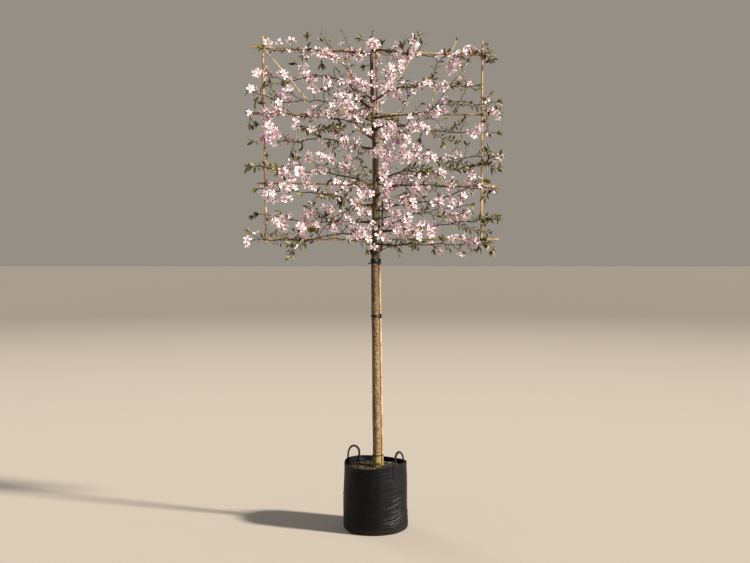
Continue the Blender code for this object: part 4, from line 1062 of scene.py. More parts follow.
def limb_bearing(name):
    """Turn round the trunk at which a limb leaves it."""
    _, _, tip, lane, _ = LIMBS[name]
    side = copysign(1, tip[0])
    return atan2(copysign(sin(FRONT_TURN), lane), side * cos(FRONT_TURN))


def trunk_relief(_, turn, centre):
    """Bark relief: long shallow flutes, knots, and a swelling under each limb."""
    height = centre.z
    way = round_at(1, turn, height * 2.2)
    relief = 0.0009 * wander(8, way, 1.6)
    relief += 0.0004 * wander(9, (way[0], way[1], height * 14), 3.4)
    relief += 0.00022 * wander(10, (way[0] * 5, way[1] * 5, height * 60), 1)
    for level, bearing in TRUNK_KNOTS:
        rise = (height - level) / 0.02
        if abs(rise) < 2.5:
            off = remainder(turn - bearing, tau) / 0.55
            relief += 0.0026 * exp(-(rise * rise) - off * off)
    # Ring scars where each year's growth started
    for level in RING_SCARS:
        relief += 0.0005 * exp(-(((height - level) / 0.006) ** 2))
    return relief


def stump_relief(_, turn, centre):
    """Rough callus round the cut of a stump."""
    return 0.0012 * wander(12, centre * 90 + Vector((turn, 0, 0)), 1)


TRUNK_KNOTS = [(row[0] - 0.006, limb_bearing(name)) for name, row in LIMBS.items()]
TRUNK_KNOTS += [(0.64, 2.4), (0.905, -1.2), (1.105, 0.5), (1.33, -2.2), (1.452, 1.9)]
TRUNK_KNOTS += [row[:2] for row in CUT_STUMPS]


def trunk_stem():
    """One tapering stem with bark relief from the compost to its pruned top."""
    low, high = TRUNK_ROWS[0][0] - 0.006, TRUNK_ROWS[-1][0]
    count = round((high - low) / TRUNK_RING_STEP) + 1
    rows = [trunk_at(low + (high - low) * step / (count - 1)) for step in range(count)]
    centres, radii = map(list, zip(*rows))
    # The cut at the top slopes and has a softened edge
    centres += [centres[-1] + UP * 0.0015, centres[-1] + UP * 0.002]
    radii += [radii[-1] * 0.9, radii[-1] * 0.55]
    heap = Heap()
    add_tube(heap, centres, radii, TRUNK_SIDES, 0, Vector((1, 0, 0)), trunk_relief)
    for level, bearing, girth in CUT_STUMPS:
        middle, radius = trunk_at(level)
        way = Vector(round_at(1, bearing, 0.25)).normalized()
        path = [middle + way * (radius * 0.4 + reach * girth) for reach, _ in STUMP_RINGS]
        add_tube(heap, path, [girth * share for _, share in STUMP_RINGS], 14, 1, UP, stump_relief)
    # The pruned stumps are drawn near black all over
    finishes = [lenticel_bark(), wood_bark("stump_near_black", "0d0907", "1c140e", "3a2c20", 0.85)]
    heap.piece("trunk_stem", finishes, "trunk_bark", "trunk")


# Bamboo frame and ties


def cane_lane(name):
    """How far behind the trunk's plane a cane lies."""
    if name == "cane_centre":
        return CENTRE_LANE
    return LEVEL_LANE if name.startswith("cane_level") else UPRIGHT_LANE


def cane_radius(name):
    return CENTRE_CANE_RADIUS if name == "cane_centre" else CANE_RADIUS


def cane_ends(name):
    """Both ends of a cane in space."""
    lane = cane_lane(name)
    return [Vector((x, lane, z)) for x, z in CANES[name]]


def level_height(level, x):
    """Height of a level cane at a sideways place."""
    left, right = CANES[level]
    return left[1] + (right[1] - left[1]) * (x - left[0]) / (right[0] - left[0])


def bamboo_cane(name, seed):
    """A cane with a ridge and a sheath line at each joint, and painted shade of the hollow at its sawn
    ends.
    """
    rng = random.Random(seed)
    start, end = cane_ends(name)
    length = (end - start).length
    run = (end - start).normalized()
    radius = cane_radius(name)
    joints = []
    mark = rng.uniform(0.05, 0.16)
    while mark < length - 0.03:
        joints.append(mark)
        mark += rng.uniform(0.17, 0.25)
    # Along the cane: (length, share of the radius, finish)
    rings = [(0, 0.94, 0), (0.0008, 0.98, 0)]
    for joint in joints:
        rings += [
            (joint - 0.012, 0.985, 0), (joint - 0.0045, 1, 0), (joint - 0.0026, 1.09, 1),
            (joint - 0.0008, 1.02, 1), (joint + 0.0012, 1.075, 1), (joint + 0.0042, 1, 0),
        ]
    rings += [(length - 0.0008, 0.97, 0), (length, 0.93, 0)]
    sides = 18
    sway = rng.uniform(0, 6)
    centres, radii, finish = [], [], []
    for (mark, share, slot), (after, _, _) in zip(rings, rings[1:] + rings[-1:]):
        pieces = max(1, round((after - mark) / 0.03)) if after > mark else 1
        for step in range(pieces):
            here = mark + (after - mark) * step / pieces
            centres.append(start + run * here)
            radii.append(radius * share * (1 - 0.05 * here / length))
            finish.append(slot)

    def relief(_, turn, centre):
        return 0.00016 * wander(seed, centre * 14 + Vector((sway, 0, 0)), 1)

    spots = tube_spots(centres, radii, sides, DEEP, relief)
    corners, sizes, marks = tube_form(len(centres), sides, lengths_of(centres), tau * radius)
    heap = Heap()
    marks = marks + np.array([seed * 0.37, seed * 1.91])
    heap.add(spots, (corners, sizes, marks))
    slots = np.repeat([max(a, b) for a, b in zip(finish, finish[1:])], sides)
    heap.slots = [np.concatenate([slots, [2, 2]])]
    # The hollow is not cut: a dark plug a third of the way across each sawn end is its painted shade
    for end_place, way in ((start, -run), (end, run)):
        plug = [end_place + way * step for step in (-0.001, 0.00025)]
        add_tube(heap, plug, [radius * 0.42] * 2, 12, 3, DEEP)
    heap.piece(f"bamboo_{name[5:]}", CANE_FINISHES, "bamboo", name)


def loop_outline(centre, radius, other, other_radius, trunk_points, cane_points):
    """Belt round two circles, as points of flat sides that clear both."""
    gap = (other - centre).length
    heading = atan2(other.y - centre.y, other.x - centre.x)
    touch = acos((radius - other_radius) / gap)
    outline = []
    arcs = (
        (centre, radius, heading + touch, tau - 2 * touch, trunk_points),
        (other, other_radius, heading - touch, 2 * touch, cane_points),
    )
    for middle, size, start, sweep, count in arcs:
        step = sweep / (count - 1)
        reach = size / cos(step / 2)
        for place in range(count):
            turn = start + step * place
            outline.append(middle + Vector((cos(turn), sin(turn))) * reach)
    return outline


def tree_tie(name):
    """A rubber belt round trunk and cane; most also get a moulded block, and a wide one a short free end.
    """
    height, width, thickness = TIES[name]
    low, high = height - width / 2, height + width / 2
    trunk_middle, _ = trunk_at(height)
    trunk_radius = max(trunk_at(low)[1], trunk_at(high)[1])
    bottom, top = cane_ends("cane_centre")
    cane_middle = bottom.lerp(top, (height - bottom.z) / (top.z - bottom.z))
    soft = min(thickness, width) * 0.28
    profile = (
        (0, low + soft), (soft, low), (thickness - soft, low), (thickness, low + soft),
        (thickness, high - soft), (thickness - soft, high), (soft, high), (0, high - soft),
    )
    rings = []
    for out, level in profile:
        outline = loop_outline(
            trunk_middle.xy, trunk_radius + 0.0012 + out,
            cane_middle.xy, CENTRE_CANE_RADIUS + CANE_NODE_RISE + SEAT + out, 30, 14,
        )
        rings.append([Vector((spot.x, spot.y, level)) for spot in outline])
    count = len(rings[0])
    spots = [ring[place] for place in range(count) for ring in rings]
    faces = []
    for place in range(count):
        ahead = (place + 1) % count
        for side in range(8):
            beside = (side + 1) % 8
            faces.append((place * 8 + side, place * 8 + beside, ahead * 8 + beside, ahead * 8 + side))
    marks = [(place * 0.004, side * 0.002) for place in range(count) for side in range(8)]
    heap = Heap()
    heap.add(spots, form_of(faces, marks))
    if name in TIE_BLOCKS:
        add_block(heap, name, trunk_middle, cane_middle)
    heap.piece(f"{name}_belt", TIE_FINISHES, "tie_rubber", name)


def add_block(heap, name, trunk_middle, cane_middle):
    """The moulded block that holds the belt shut in front of the cane, and its studs."""
    half_wide, half_tall, drop = TIE_BLOCKS[name]
    height, width, thickness = TIES[name]
    half_deep = 0.0046
    front = cane_middle.y - CENTRE_CANE_RADIUS - CANE_NODE_RISE - SEAT - thickness
    centre = Vector((cane_middle.x - 0.0012, front - half_deep + 0.0012, height - drop))
    spots, sides, rows = [], 20, 13
    for row in range(rows):
        level = 2 * row / (rows - 1) - 1
        draw_in = (1 - 0.998 * abs(level) ** 7) ** (1 / 3)
        # A waist where the belt passes through
        waist = 1 - 0.16 * exp(-((level / 0.22) ** 2))
        for turn in turns_of(sides):
            x = swell(cos(turn), 0.45) * half_wide * draw_in
            y = swell(sin(turn), 0.45) * half_deep * draw_in * waist
            spots.append(centre + Vector((x, y, level * half_tall)))
    heap.add(spots, tube_form(rows, sides, [0.002 * row for row in range(rows)], 0.06))
    face = centre.y - half_deep
    studs = [Vector((centre.x + 0.0012, face + 0.0006, centre.z - half_tall * 0.28))]
    dx = 0.0145
    reach = trunk_at(height)[1] + 0.0012 + thickness
    studs.append(Vector((trunk_middle.x + dx, -sqrt(reach * reach - dx * dx), height - 0.002)))
    for spot in studs:
        path = [spot + DEEP * step for step in (0.0012, 0, -0.0008, -0.0013)]
        add_tube(heap, path, [0.0021, 0.0021, 0.0016, 0.0006], 10, 1, UP)
    if width < WIDE_TIE:
        return
    # A wide belt's free end stands off at the left
    turn = radians(205)
    root = Vector((trunk_middle.x + reach * cos(turn), reach * sin(turn), height - width * 0.4))
    tail = [root + Vector((-0.0034 * step, -0.0008 * step, -0.001 * step)) for step in range(6)]
    add_tube(heap, tail, [0.0036, 0.0036, 0.0034, 0.0034, 0.0033, 0.0026], 8)


def add_lashing(heap, centre, ways, half_sizes):
    """Twine wound round two canes: closed turns side by side across a crossing."""
    for way, half in zip(ways, half_sizes):
        beside = way.cross(DEEP).normalized()
        for winding in (-1, 0, 1):
            middle = centre + beside * winding * TWINE_PITCH
            turns = [tau * step / 18 for step in range(19)]
            loop = [middle + way * cos(turn) * half[0] + DEEP * sin(turn) * half[1] for turn in turns]
            add_tube(heap, loop, [TWINE_RADIUS] * 19, 6, 0, beside)


def twine_lashings(crown):
    """Lashings where the canes cross, and where limbs are tied in to the level canes."""
    heap = Heap()
    levels = [name for name in CANES if name.startswith("cane_level")]
    for upright in ("cane_left", "cane_right", "cane_centre"):
        a, b = cane_ends(upright)
        for level in levels:
            c, d = cane_ends(level)
            part = (c.z - a.z) / (b.z - a.z)
            for _ in range(3):
                x = a.x + (b.x - a.x) * part
                z = level_height(level, x)
                part = (z - a.z) / (b.z - a.z)
            if not -0.02 < part < 1.02:
                continue
            centre = Vector((x, (a.y + c.y) / 2, z))
            ways = [Vector((1, 0, 1)).normalized(), Vector((1, 0, -1)).normalized()]
            reach = CANE_RADIUS + cane_radius(upright) + 0.0012
            add_lashing(heap, centre, ways, [(0.0098, reach)] * 2)
            knot = centre + Vector((0.004, -reach, 0.004))
            for sign in (-1, 1):
                tail = [knot + Vector((sign * 0.003, -0.0012, 0.0035 - 0.0011 * step)) * step
                        for step in range(5)]
                add_tube(heap, tail, [0.0011, 0.0011, 0.001, 0.0009, 0.0007], 6)
    for name, run in crown.runs.items():
        for level in levels:
            c, d = cane_ends(level)
            best = None
            for step in range(12, 97):
                spot = run.at(step / 100)[0]
                level_z = level_height(level, spot.x)
                off = abs(spot.z - level_z)
                if off < 0.012 and abs(spot.x) > 0.07 and (best is None or off < best[0]):
                    best = (off, spot, level_z)
            if not best:
                continue
            _, spot, level_z = best
            if abs(spot.y - LEVEL_LANE) < 0.075 and c.x < spot.x < d.x:
                middle = Vector((spot.x, (spot.y + LEVEL_LANE) / 2, (spot.z + level_z) / 2))
                deep = abs(spot.y - LEVEL_LANE) / 2 + 0.007
                tall = abs(spot.z - level_z) / 2 + 0.0072
                add_lashing(heap, middle, [UP], [(tall, deep)])
    heap.piece("twine_lashings", [tarred_twine()], "bamboo", *CANES)


# Limbs


def smooth_run(points, first_heading, steps):
    """Catmull-Rom curve through a few points that leaves the first along a heading."""
    before = points[1] - first_heading * 2 * (points[1] - points[0]).length
    after = points[-1] + (points[-1] - points[-2]) * 0.5
    knots = [before, *points, after]
    run = [points[0].copy()]
    for place in range(len(points) - 1):
        a, b, c, d = knots[place:place + 4]
        for step in range(1, steps + 1):
            t = step / steps
            bend = a * (-t + 2 * t * t - t ** 3) + b * (2 - 5 * t * t + 3 * t ** 3)
            bend += c * (t + 4 * t * t - 3 * t ** 3) + d * (t ** 3 - t * t)
            run.append(bend * 0.5)
    return run


def bend_of(name, share):
    """How far a limb has wandered up or down at a share of its run."""
    rows = ((0, 0), *LIMB_BENDS.get(name, ((1, 0),)))
    for (low, low_rise), (high, high_rise) in zip(rows, rows[1:]):
        if share <= high:
            part = (share - low) / (high - low)
            return low_rise + (high_rise - low_rise) * part * part * (3 - 2 * part)
    return rows[-1][1]


class Run:
    """A run of points measured by length, to be read at any share of it."""

    def __init__(self, points):
        self.points = points
        self.marks = lengths_of(points)
        self.length = self.marks[-1]

    def at(self, share):
        """Point and heading at a share of the length."""
        goal = min(max(share, 0), 1) * self.length
        place = 0
        while place < len(self.marks) - 2 and self.marks[place + 1] < goal:
            place += 1
        a, b = self.points[place], self.points[place + 1]
        part = (goal - self.marks[place]) / max(self.marks[place + 1] - self.marks[place], 1e-9)
        return a.lerp(b, part), (b - a).normalized()


def limb_run(name):
    """Middle line of a limb from the trunk's bark to its tip."""
    height, knee, tip, lane, _ = LIMBS[name]
    middle, radius = trunk_at(height)
    side = copysign(1, tip[0])
    turn = copysign(FRONT_TURN, lane)
    out = across(trunk_heading(height), Vector((side * cos(turn), sin(turn), 0)))
    root = middle + out * (radius + SOFT_SEAT)
    knee_share = abs(knee[0] / tip[0])
    start_lane = root.y + 0.25 * (lane - root.y)
    knee_point = Vector((knee[0], start_lane + (lane - start_lane) * knee_share, knee[1]))
    tip_point = Vector((tip[0], lane, tip[1]))
    heading = (out + (knee_point - root).normalized()).normalized()
    return Run(smooth_run([root, knee_point, tip_point], heading, RUN_STEPS))


def fork_run(run, bare):
    """The second stem of the forked bough: up, forward and over the tiers above it."""
    start, heading = run.at(bare)
    root = start + heading * SEAT + UP * 0.003
    way = (heading + (FORK_KNEE - root).normalized() * 0.8).normalized()
    return Run(smooth_run([root, FORK_KNEE, FORK_TIP], way, RUN_STEPS))


# Blossom and leaf, each in its own outline


def petal_rows(rng, tilt, size):
    """One petal: a claw, a broad blade and a notched rim, cupped along its length."""
    rows = ((0, 0.06), (0.28, 0.17), (0.6, 0.29), (0.86, 0.25), (1, 0.09))
    notch = rng.uniform(0.02, 0.09)
    cup = rng.uniform(0, 0.26)
    curl = rng.uniform(-0.35, 0.3)
    twist = rng.uniform(-0.22, 0.22)
    spots, marks = [], []
    for share, half in rows:
        for side in (-1, 0, 1):
            reach = share - (notch if share == 1 and side == 0 else 0)
            out = 0.0022 + size * reach * cos(tilt + curl * share)
            high = 0.0045 + size * reach * sin(tilt + curl * share)
            high += size * (cup * abs(side) * share * (1.15 - share) + twist * side * share)
            spots.append((out, side * half * size, high))
            marks.append((0.5 + side * 0.5, share))
    return spots, blade_faces(5), marks


# The anther at a stamen's tip has eight faces
ANTHER_RADIUS = 0.0009
ANTHER_SPOTS = ((1, 0, 0), (0, 1, 0), (-1, 0, 0), (0, -1, 0), (0, 0, 1), (0, 0, -1))
ANTHER_FACES = ((0, 1, 4), (1, 2, 4), (2, 3, 4), (3, 0, 4), (1, 0, 5), (2, 1, 5), (3, 2, 5), (0, 3, 5))


def flower_forms(seed, opening):
    """A flower on its calyx: petals, heart, stamens and calyx, facing +Z."""
    rng = random.Random(seed)
    parts = {"petals": ([], [], []), "heart": ([], [], []), "calyx": ([], [], [])}

    def put(part, spots, faces, marks=None):
        base = len(parts[part][0])
        parts[part][0].extend(spots)
        parts[part][1].extend([tuple(spot + base for spot in face) for face in faces])
        parts[part][2].extend(marks or [(0, 0)] * len(spots))

    for petal in range(5):
        turn = tau * petal / 5 + rng.uniform(-0.12, 0.12)
        size = BLOSSOM_RADIUS * rng.uniform(0.88, 1.06)
        spots, faces, marks = petal_rows(rng, opening + rng.uniform(-0.14, 0.14), size)
        c, s = cos(turn), sin(turn)
        # Every other petal lies a little over its neighbours
        lift = 0.0006 * (petal % 2)
        put("petals", [(x * c - y * s, x * s + y * c, z + lift) for x, y, z in spots], faces, marks)
    ring = turns_of(7)
    heart = [(0, 0, 0.0062)] + [round_at(0.0028, turn, 0.0054) for turn in ring]
    put("heart", heart, [(0, 1 + s, 1 + (s + 1) % 7) for s in range(7)])
    for stamen in range(7):
        turn = tau * stamen / 7 + rng.uniform(-0.2, 0.2)
        lean = rng.uniform(0.15, 0.65) + opening * -0.2
        reach = rng.uniform(0.006, 0.0095)
        base = Vector(round_at(0.0015, turn, 0.0055))
        way = Vector(round_at(sin(lean), turn, cos(lean)))
        end = base + way * reach
        side = Vector((-sin(turn), cos(turn), 0)) * 0.00028
        put("heart", [base - side, base + side, end], [(0, 1, 2)])
        put("heart", [end + Vector(step) * ANTHER_RADIUS for step in ANTHER_SPOTS], ANTHER_FACES)
    cup = [round_at(radius, turn, level) for radius, level in
           ((0.0008, -0.001), (0.0022, 0.0012), (0.0026, 0.0046)) for turn in ring]
    put("calyx", cup, ring_faces(3, 7))
    for sepal in range(5):
        turn = tau * (sepal + 0.5) / 5
        out = Vector(round_at(1, turn))
        side = Vector((-out.y, out.x, 0))
        blade = [out * 0.0022 - side * 0.0014, out * 0.0022 + side * 0.0014,
                 out * 0.0052 + side * 0.0013, out * 0.007, out * 0.0052 - side * 0.0013]
        rises = (0.004, 0.004, 0.0036, 0.0032, 0.0036)
        placed = [spot + UP * rise for spot, rise in zip(blade, rises)]
        put("calyx", placed, [(0, 1, 2, 3, 4)])
    return {part: (np.array([tuple(spot) for spot in spots]), form_of(faces, marks))
            for part, (spots, faces, marks) in parts.items()}


def bud_form():
    """A fat closed bud, round at the shoulder and pointed."""
    sides = 6
    rows = ((0.001, 0), (0.0026, 0.0022), (0.0031, 0.0048), (0.0018, 0.0078), (0.0003, 0.0092))
    spots = [round_at(radius, tau * side / sides + place * 0.25, level)
             for place, (radius, level) in enumerate(rows) for side in range(sides)]
    faces = ring_faces(len(rows), sides)
    faces.append(tuple(range((len(rows) - 1) * sides, len(rows) * sides)))
    return np.array(spots), form_of(faces, [(0, level) for _, level in rows for _ in range(sides)])


def leaf_form(seed):
    """A lance-shaped leaf one metre long, folded on its rib, arched and a little twisted."""
    rng = random.Random(seed)
    fold = rng.uniform(0.25, 0.6)
    arch = rng.uniform(0.05, 0.3)
    twist = rng.uniform(-0.35, 0.35)
    rows = ((0, 0.012), (0.1, 0.04), (0.3, 0.155), (0.55, 0.185), (0.8, 0.115), (1, 0.004))
    spots, marks = [], []
    for share, half in rows:
        turn = twist * share
        for side in (-1, 0, 1):
            y = side * half * cos(fold)
            z = abs(side) * half * sin(fold) + 0.01 * sin(9 * share + side)
            bend = -arch * share * share
            up = y * sin(turn) + z * cos(turn) + bend
            spots.append((share, y * cos(turn) - z * sin(turn), up))
            marks.append((0.5 + side * 0.5, share))
    return np.array(spots), form_of(blade_faces(6), marks)


class Crown:
    """Grows twigs, blossom and leaves on the limbs, and gathers each kind apart."""

    def __init__(self):
        self.rng = random.Random(5)
        kinds = ("limbs", "twigs", "petals", "hearts", "calyces", "buds", "leaves")
        self.heaps = {kind: Heap() for kind in kinds}
        self.open_flowers = [flower_forms(30 + seed, 0.22 + 0.07 * seed) for seed in range(5)]
        self.half_open = [flower_forms(40 + seed, 0.85 + 0.12 * seed) for seed in range(2)]
        self.bud = bud_form()
        self.leaf_shapes = [leaf_form(50 + seed) for seed in range(8)]
        self.runs = {}
        self.turn = 0
        self.ceiling = BLOSSOM_CEILING
        self.sites = []

    # Where things may grow from

    def add_sites(self, points, radii, keen):
        """Places on the wood that a twig may grow from."""
        for place, (spot, radius) in enumerate(zip(points, radii)):
            self.sites.append((*spot, *heading_at(points, place), radius, keen))

    def nearest_site(self, goal):
        """The wood that a spur at a place most likely grows from: near it, and inward."""
        sites = np.array(self.sites)
        gap = np.array(goal) - sites[:, :3]
        side = copysign(1, goal.x)
        inward = np.maximum(0, -gap[:, 0] * side - 0.004)
        back = np.maximum(0, -(gap * sites[:, 3:6]).sum(axis=1))
        cost = np.linalg.norm(gap, axis=1) + 1.5 * inward + 0.5 * back + sites[:, 7]
        best = sites[cost.argmin()]
        return Vector(best[:3]), Vector(best[3:6]), best[6]

    def inside(self, spot, margin):
        """True inside the trained crown's box."""
        sides = zip(CROWN_LOW, spot, CROWN_HIGH)
        return all(low + margin < place < high - margin for low, place, high in sides)

    def around(self, heading, flatness=1):
        """The next direction square to a heading, a golden turn on, drawn to front and back."""
        self.turn += GOLDEN_TURN
        side = across(heading, DEEP)
        way = side * cos(self.turn) + heading.cross(side) * sin(self.turn) * flatness
        return way.normalized()

    def jitter(self):
        return Vector([self.rng.uniform(-1, 1) for _ in range(3)])

    # Small parts

    def put(self, kind, form, spot, basis, scale, slot):
        spots = form[0] @ basis * scale + np.array(spot)
        self.heaps[kind].add(spots, form[1], slot)

    def facing_basis(self, facing):
        """Axes of a small part that looks along its facing, turned at random."""
        side = across(facing, self.jitter())
        return np.array([side, facing.cross(side), facing])

    def flower(self, spot, facing, tint, scale=1, half_open=False):
        """A flower with its calyx on a spot of the wood, looking along its facing."""
        facing = facing.normalized()
        if spot.z > self.ceiling or not self.inside(spot + facing * 0.008, BLOSSOM_RADIUS * 0.9):
            return
        basis = self.facing_basis(facing)
        forms = self.rng.choice(self.half_open if half_open else self.open_flowers)
        scale *= self.rng.uniform(0.86, 1.12)
        self.put("petals", forms["petals"], spot, basis, scale, tint)
        self.put("hearts", forms["heart"], spot, basis, scale, 0)
        self.put("calyces", forms["calyx"], spot, basis, scale, 0)

    def add_bud(self, spot, facing):
        facing = facing.normalized()
        basis = self.facing_basis(facing)
        scale = self.rng.uniform(0.7, 1.15)
        self.put("buds", self.bud, spot, basis, scale, self.rng.choice((0, 0, 1)))

    def leaf(self, spot, heading, length):
        """A leaf from a spot of the wood, its face turned up to the light."""
        heading = heading.normalized()
        if not self.inside(spot + heading * length, 0.002):
            return
        face = across(heading, Vector((0.15, -0.8, 0.8)) + self.jitter() * 0.8)
        basis = np.array([heading, face.cross(heading), face])
        tint = self.rng.choice((0, 0, 1, 1, 2))
        self.put("leaves", self.rng.choice(self.leaf_shapes), spot, basis, length, tint)

    def wood(self, points, root, tip, sides, slot):
        """A twig along points; finer twigs may grow on from it."""
        count = len(points)
        radii = [root + (tip - root) * (place / (count - 1)) ** 0.8 for place in range(count)]
        add_tube(self.heaps["twigs"], points, radii, sides, slot)
        self.add_sites(points[1:], radii[1:], 0.004)

    def bowed(self, start, way, end, bend, steps):
        """Points from a start along a way, bowing over to an end, not quite even."""
        reach = (end - start).length
        knee = start + way * reach * bend
        points = []
        for step in range(steps):
            t = step / (steps - 1)
            spot = start * (1 - t) ** 2 + knee * 2 * t * (1 - t) + end * t * t
            if 0 < step < steps - 1:
                spot = spot + self.jitter() * min(0.0016, reach * 0.02)
            points.append(spot)
        return points

    # Sprays

    def lane(self, x_cm, z_cm, y):
        """A place of the flat plan, seen through at its own depth."""
        share = 1 - y / CAMERA_PLACE.y
        flat_z = z_cm / 100 - CAMERA_PLACE.z
        return Vector((x_cm / 100 * share, y, CAMERA_PLACE.z + flat_z * share))

    def wood_near(self, x_cm, z_cm):
        """The wood that grows to a place of the flat plan."""
        return self.nearest_site(self.lane(x_cm, z_cm, 0))

    def tuft(self, spot, heading, count, length):
        """Young leaves that spread from the end of a twig."""
        for _ in range(count):
            spread = self.around(heading) * self.rng.uniform(0.25, 0.95)
            self.leaf(spot, heading + spread, length * self.rng.uniform(0.7, 1.2))

    def bouquet(self, x_cm, z_cm, count, shaded):
        """A spur with its flowers, grown out from the nearest wood."""
        rng = self.rng
        start, heading, radius = self.wood_near(x_cm, z_cm)
        front = rng.random() < 0.62
        depth = rng.uniform(0.008, 0.046) * (-1 if front else 1)
        y = min(max(start.y + depth, -SPRAY_DEPTH), SPRAY_DEPTH)
        goal = clear_of_canes(self.lane(x_cm, z_cm, y))
        gap = goal - start
        way = (heading * 0.7 + gap.normalized()).normalized()
        steps = 4 if gap.length < 0.05 else 7
        root = min(radius * 0.75, 0.0012 + 0.012 * gap.length)
        points = self.bowed(start, way, goal, 0.45, steps)
        self.wood(points, max(root, 0.0013), 0.0011, 5, rng.choice((0, 0, 1)))
        # A shaded bouquet's petals take the fourth tint, a painted shade copy of the pink
        tint = 3 if shaded else rng.choice((0, 0, 0, 1, 1, 2))
        spread = 0.007 + 0.0062 * sqrt(count)
        out_way = (goal - points[-2]).normalized()
        for _ in range(count):
            away = self.around(out_way) + out_way * rng.uniform(-0.9, 0.9) + self.jitter() * 0.25
            away = away.normalized()
            spot = goal + away * spread * rng.uniform(0.45, 1)
            base = goal - out_way * rng.uniform(0, 0.016)
            if (spot - base).length > 0.004:
                middle = base.lerp(spot, 0.6) + self.jitter() * 0.0008
                add_tube(self.heaps["twigs"], [base, middle, spot], [0.0009, 0.0008, 0.0009], 4)
            toward = -0.95 if front else rng.choice((-0.75, 0.55))
            look = away + Vector((0.14, toward, 0.24)) + self.jitter() * 0.45
            petal_tint = tint if rng.random() < 0.75 else rng.choice((0, 1, 2, 3) if shaded else (0, 1, 2))
            self.flower(spot, look, petal_tint, 1, rng.random() < 0.16)
        if rng.random() < 0.35:
            self.add_bud(goal + self.jitter() * 0.004, out_way + self.jitter() * 0.6)
        if rng.random() < 0.38:
            self.tuft(goal, out_way, rng.choice((1, 2, 2, 3)), 0.024)

    def shoot(self, plan, leaves_per_10_cm):
        """A one-year shoot through places of the flat plan, with leaves along it."""
        rng = self.rng
        start, heading, radius = self.wood_near(*plan[0])
        y = start.y + rng.uniform(-0.03, 0.012)
        knots = [start]
        for place, (x_cm, z_cm) in enumerate(plan):
            spot = clear_of_canes(self.lane(x_cm, z_cm, y - 0.012 * place))
            if (spot - start).length > 0.055 or place == len(plan) - 1:
                knots.append(spot)
        pale = leaves_per_10_cm < 2
        way = (heading * (0.1 if pale else 0.6) + (knots[1] - start).normalized()).normalized()
        # A pale shoot is in its first year: straight, with a sharp turn at a node. Its pale bark is painted
        # sunlight, a sunlit copy of the shoots' bark
        run = Run(knots) if pale else Run(smooth_run(knots, way, 8))
        count = max(6, round(run.length / 0.014))
        points = [run.at(step / (count - 1))[0] for step in range(count)]
        if pale:
            self.wood(points, 0.0034, 0.0022, 7, 2)
        else:
            self.wood(points, min(radius * 0.85, 0.003), 0.0013, 7, 1)
        total = round(run.length * 12 * leaves_per_10_cm)
        for place in range(total):
            share = (place + 0.6) / total
            spot, ahead = run.at(0.12 + 0.88 * share)
            out = self.around(ahead)
            way = ahead * rng.uniform(0.4, 1) + out + UP * 0.15
            self.leaf(spot, way, LEAF_LENGTH * rng.uniform(0.6, 1.05))
        self.tuft(run.at(1)[0], run.at(0.97)[1], 3 if leaves_per_10_cm else 1, LEAF_LENGTH * 0.8)

    def sheath(self, plan, count, half_width):
        """Blossom set close along a branch, each flower on its own short stalk."""
        rng = self.rng
        run = Run([Vector((x, 0, z)) for x, z in plan])
        for place in range(count):
            spot_cm, _ = run.at((place + rng.random()) / count)
            start = self.wood_near(spot_cm.x, spot_cm.z)[0]
            y = min(max(start.y, -0.14), 0.14) - rng.uniform(0, 0.03)
            away = self.jitter()
            goal = clear_of_canes(self.lane(spot_cm.x, spot_cm.z, y) + away * half_width)
            middle = start.lerp(goal, 0.55) + self.jitter() * 0.0015
            radii = [0.0012, 0.001, 0.0009]
            add_tube(self.heaps["twigs"], [start, middle, goal], radii, 4, rng.choice((0, 1)))
            look = Vector((0.15, -0.85, 0.15)) + away * 0.6 + self.jitter() * 0.35
            self.flower(goal, look, rng.choice((0, 1, 1, 2, 2)), 0.62, rng.random() < 0.22)

    def bold_flower(self, x_cm, z_cm, scale):
        """A single flower well clear of its twig, turned to the front."""
        start, heading, _ = self.wood_near(x_cm, z_cm)
        y = max(start.y - 0.034, -SPRAY_DEPTH)
        goal = clear_of_canes(self.lane(x_cm, z_cm, y))
        points = self.bowed(start, (heading + (goal - start).normalized()).normalized(), goal, 0.4, 5)
        self.wood(points, 0.0013, 0.001, 5, 0)
        self.flower(goal, Vector((0.08, -1, 0.1)) + self.jitter() * 0.1, 0, scale)

    def leaf_tuft(self, x_cm, z_cm, count):
        """A leafy spur at a place of the flat plan."""
        rng = self.rng
        start, heading, radius = self.wood_near(x_cm, z_cm)
        y = min(max(start.y + rng.uniform(-0.03, 0.02), -SPRAY_DEPTH), SPRAY_DEPTH)
        goal = clear_of_canes(self.lane(x_cm, z_cm, y))
        gap = goal - start
        points = self.bowed(start, (heading * 0.8 + gap.normalized()).normalized(), goal, 0.45, 6)
        self.wood(points, min(radius * 0.75, 0.0012 + 0.01 * gap.length), 0.0011, 5, 1)
        way = (goal - points[-2]).normalized()
        self.tuft(goal, way, count, LEAF_LENGTH)
        for place in (2, 4):
            self.tuft(points[place], way, 1, LEAF_LENGTH * 0.8)

    # Limbs and the growth rule

    def limb(self, name, run, bare, root, seed):
        """A limb's tapering wood with bark relief, and the places that twigs grow from."""
        count = max(8, round(run.length / 0.008))
        centres, radii = [], []
        kinks = [Vector((0, self.rng.uniform(-0.005, 0.005), self.rng.uniform(-0.0075, 0.0075)))
                 for _ in range(16)]
        for step in range(count):
            share = step / (count - 1)
            spot, _ = run.at(share)
            loose = min(max((share - bare) / 0.2, 0), 1)
            sway = Vector((0, wander(seed, spot, 5.5) * 0.01, wander(seed + 40, spot, 6.5) * 0.01))
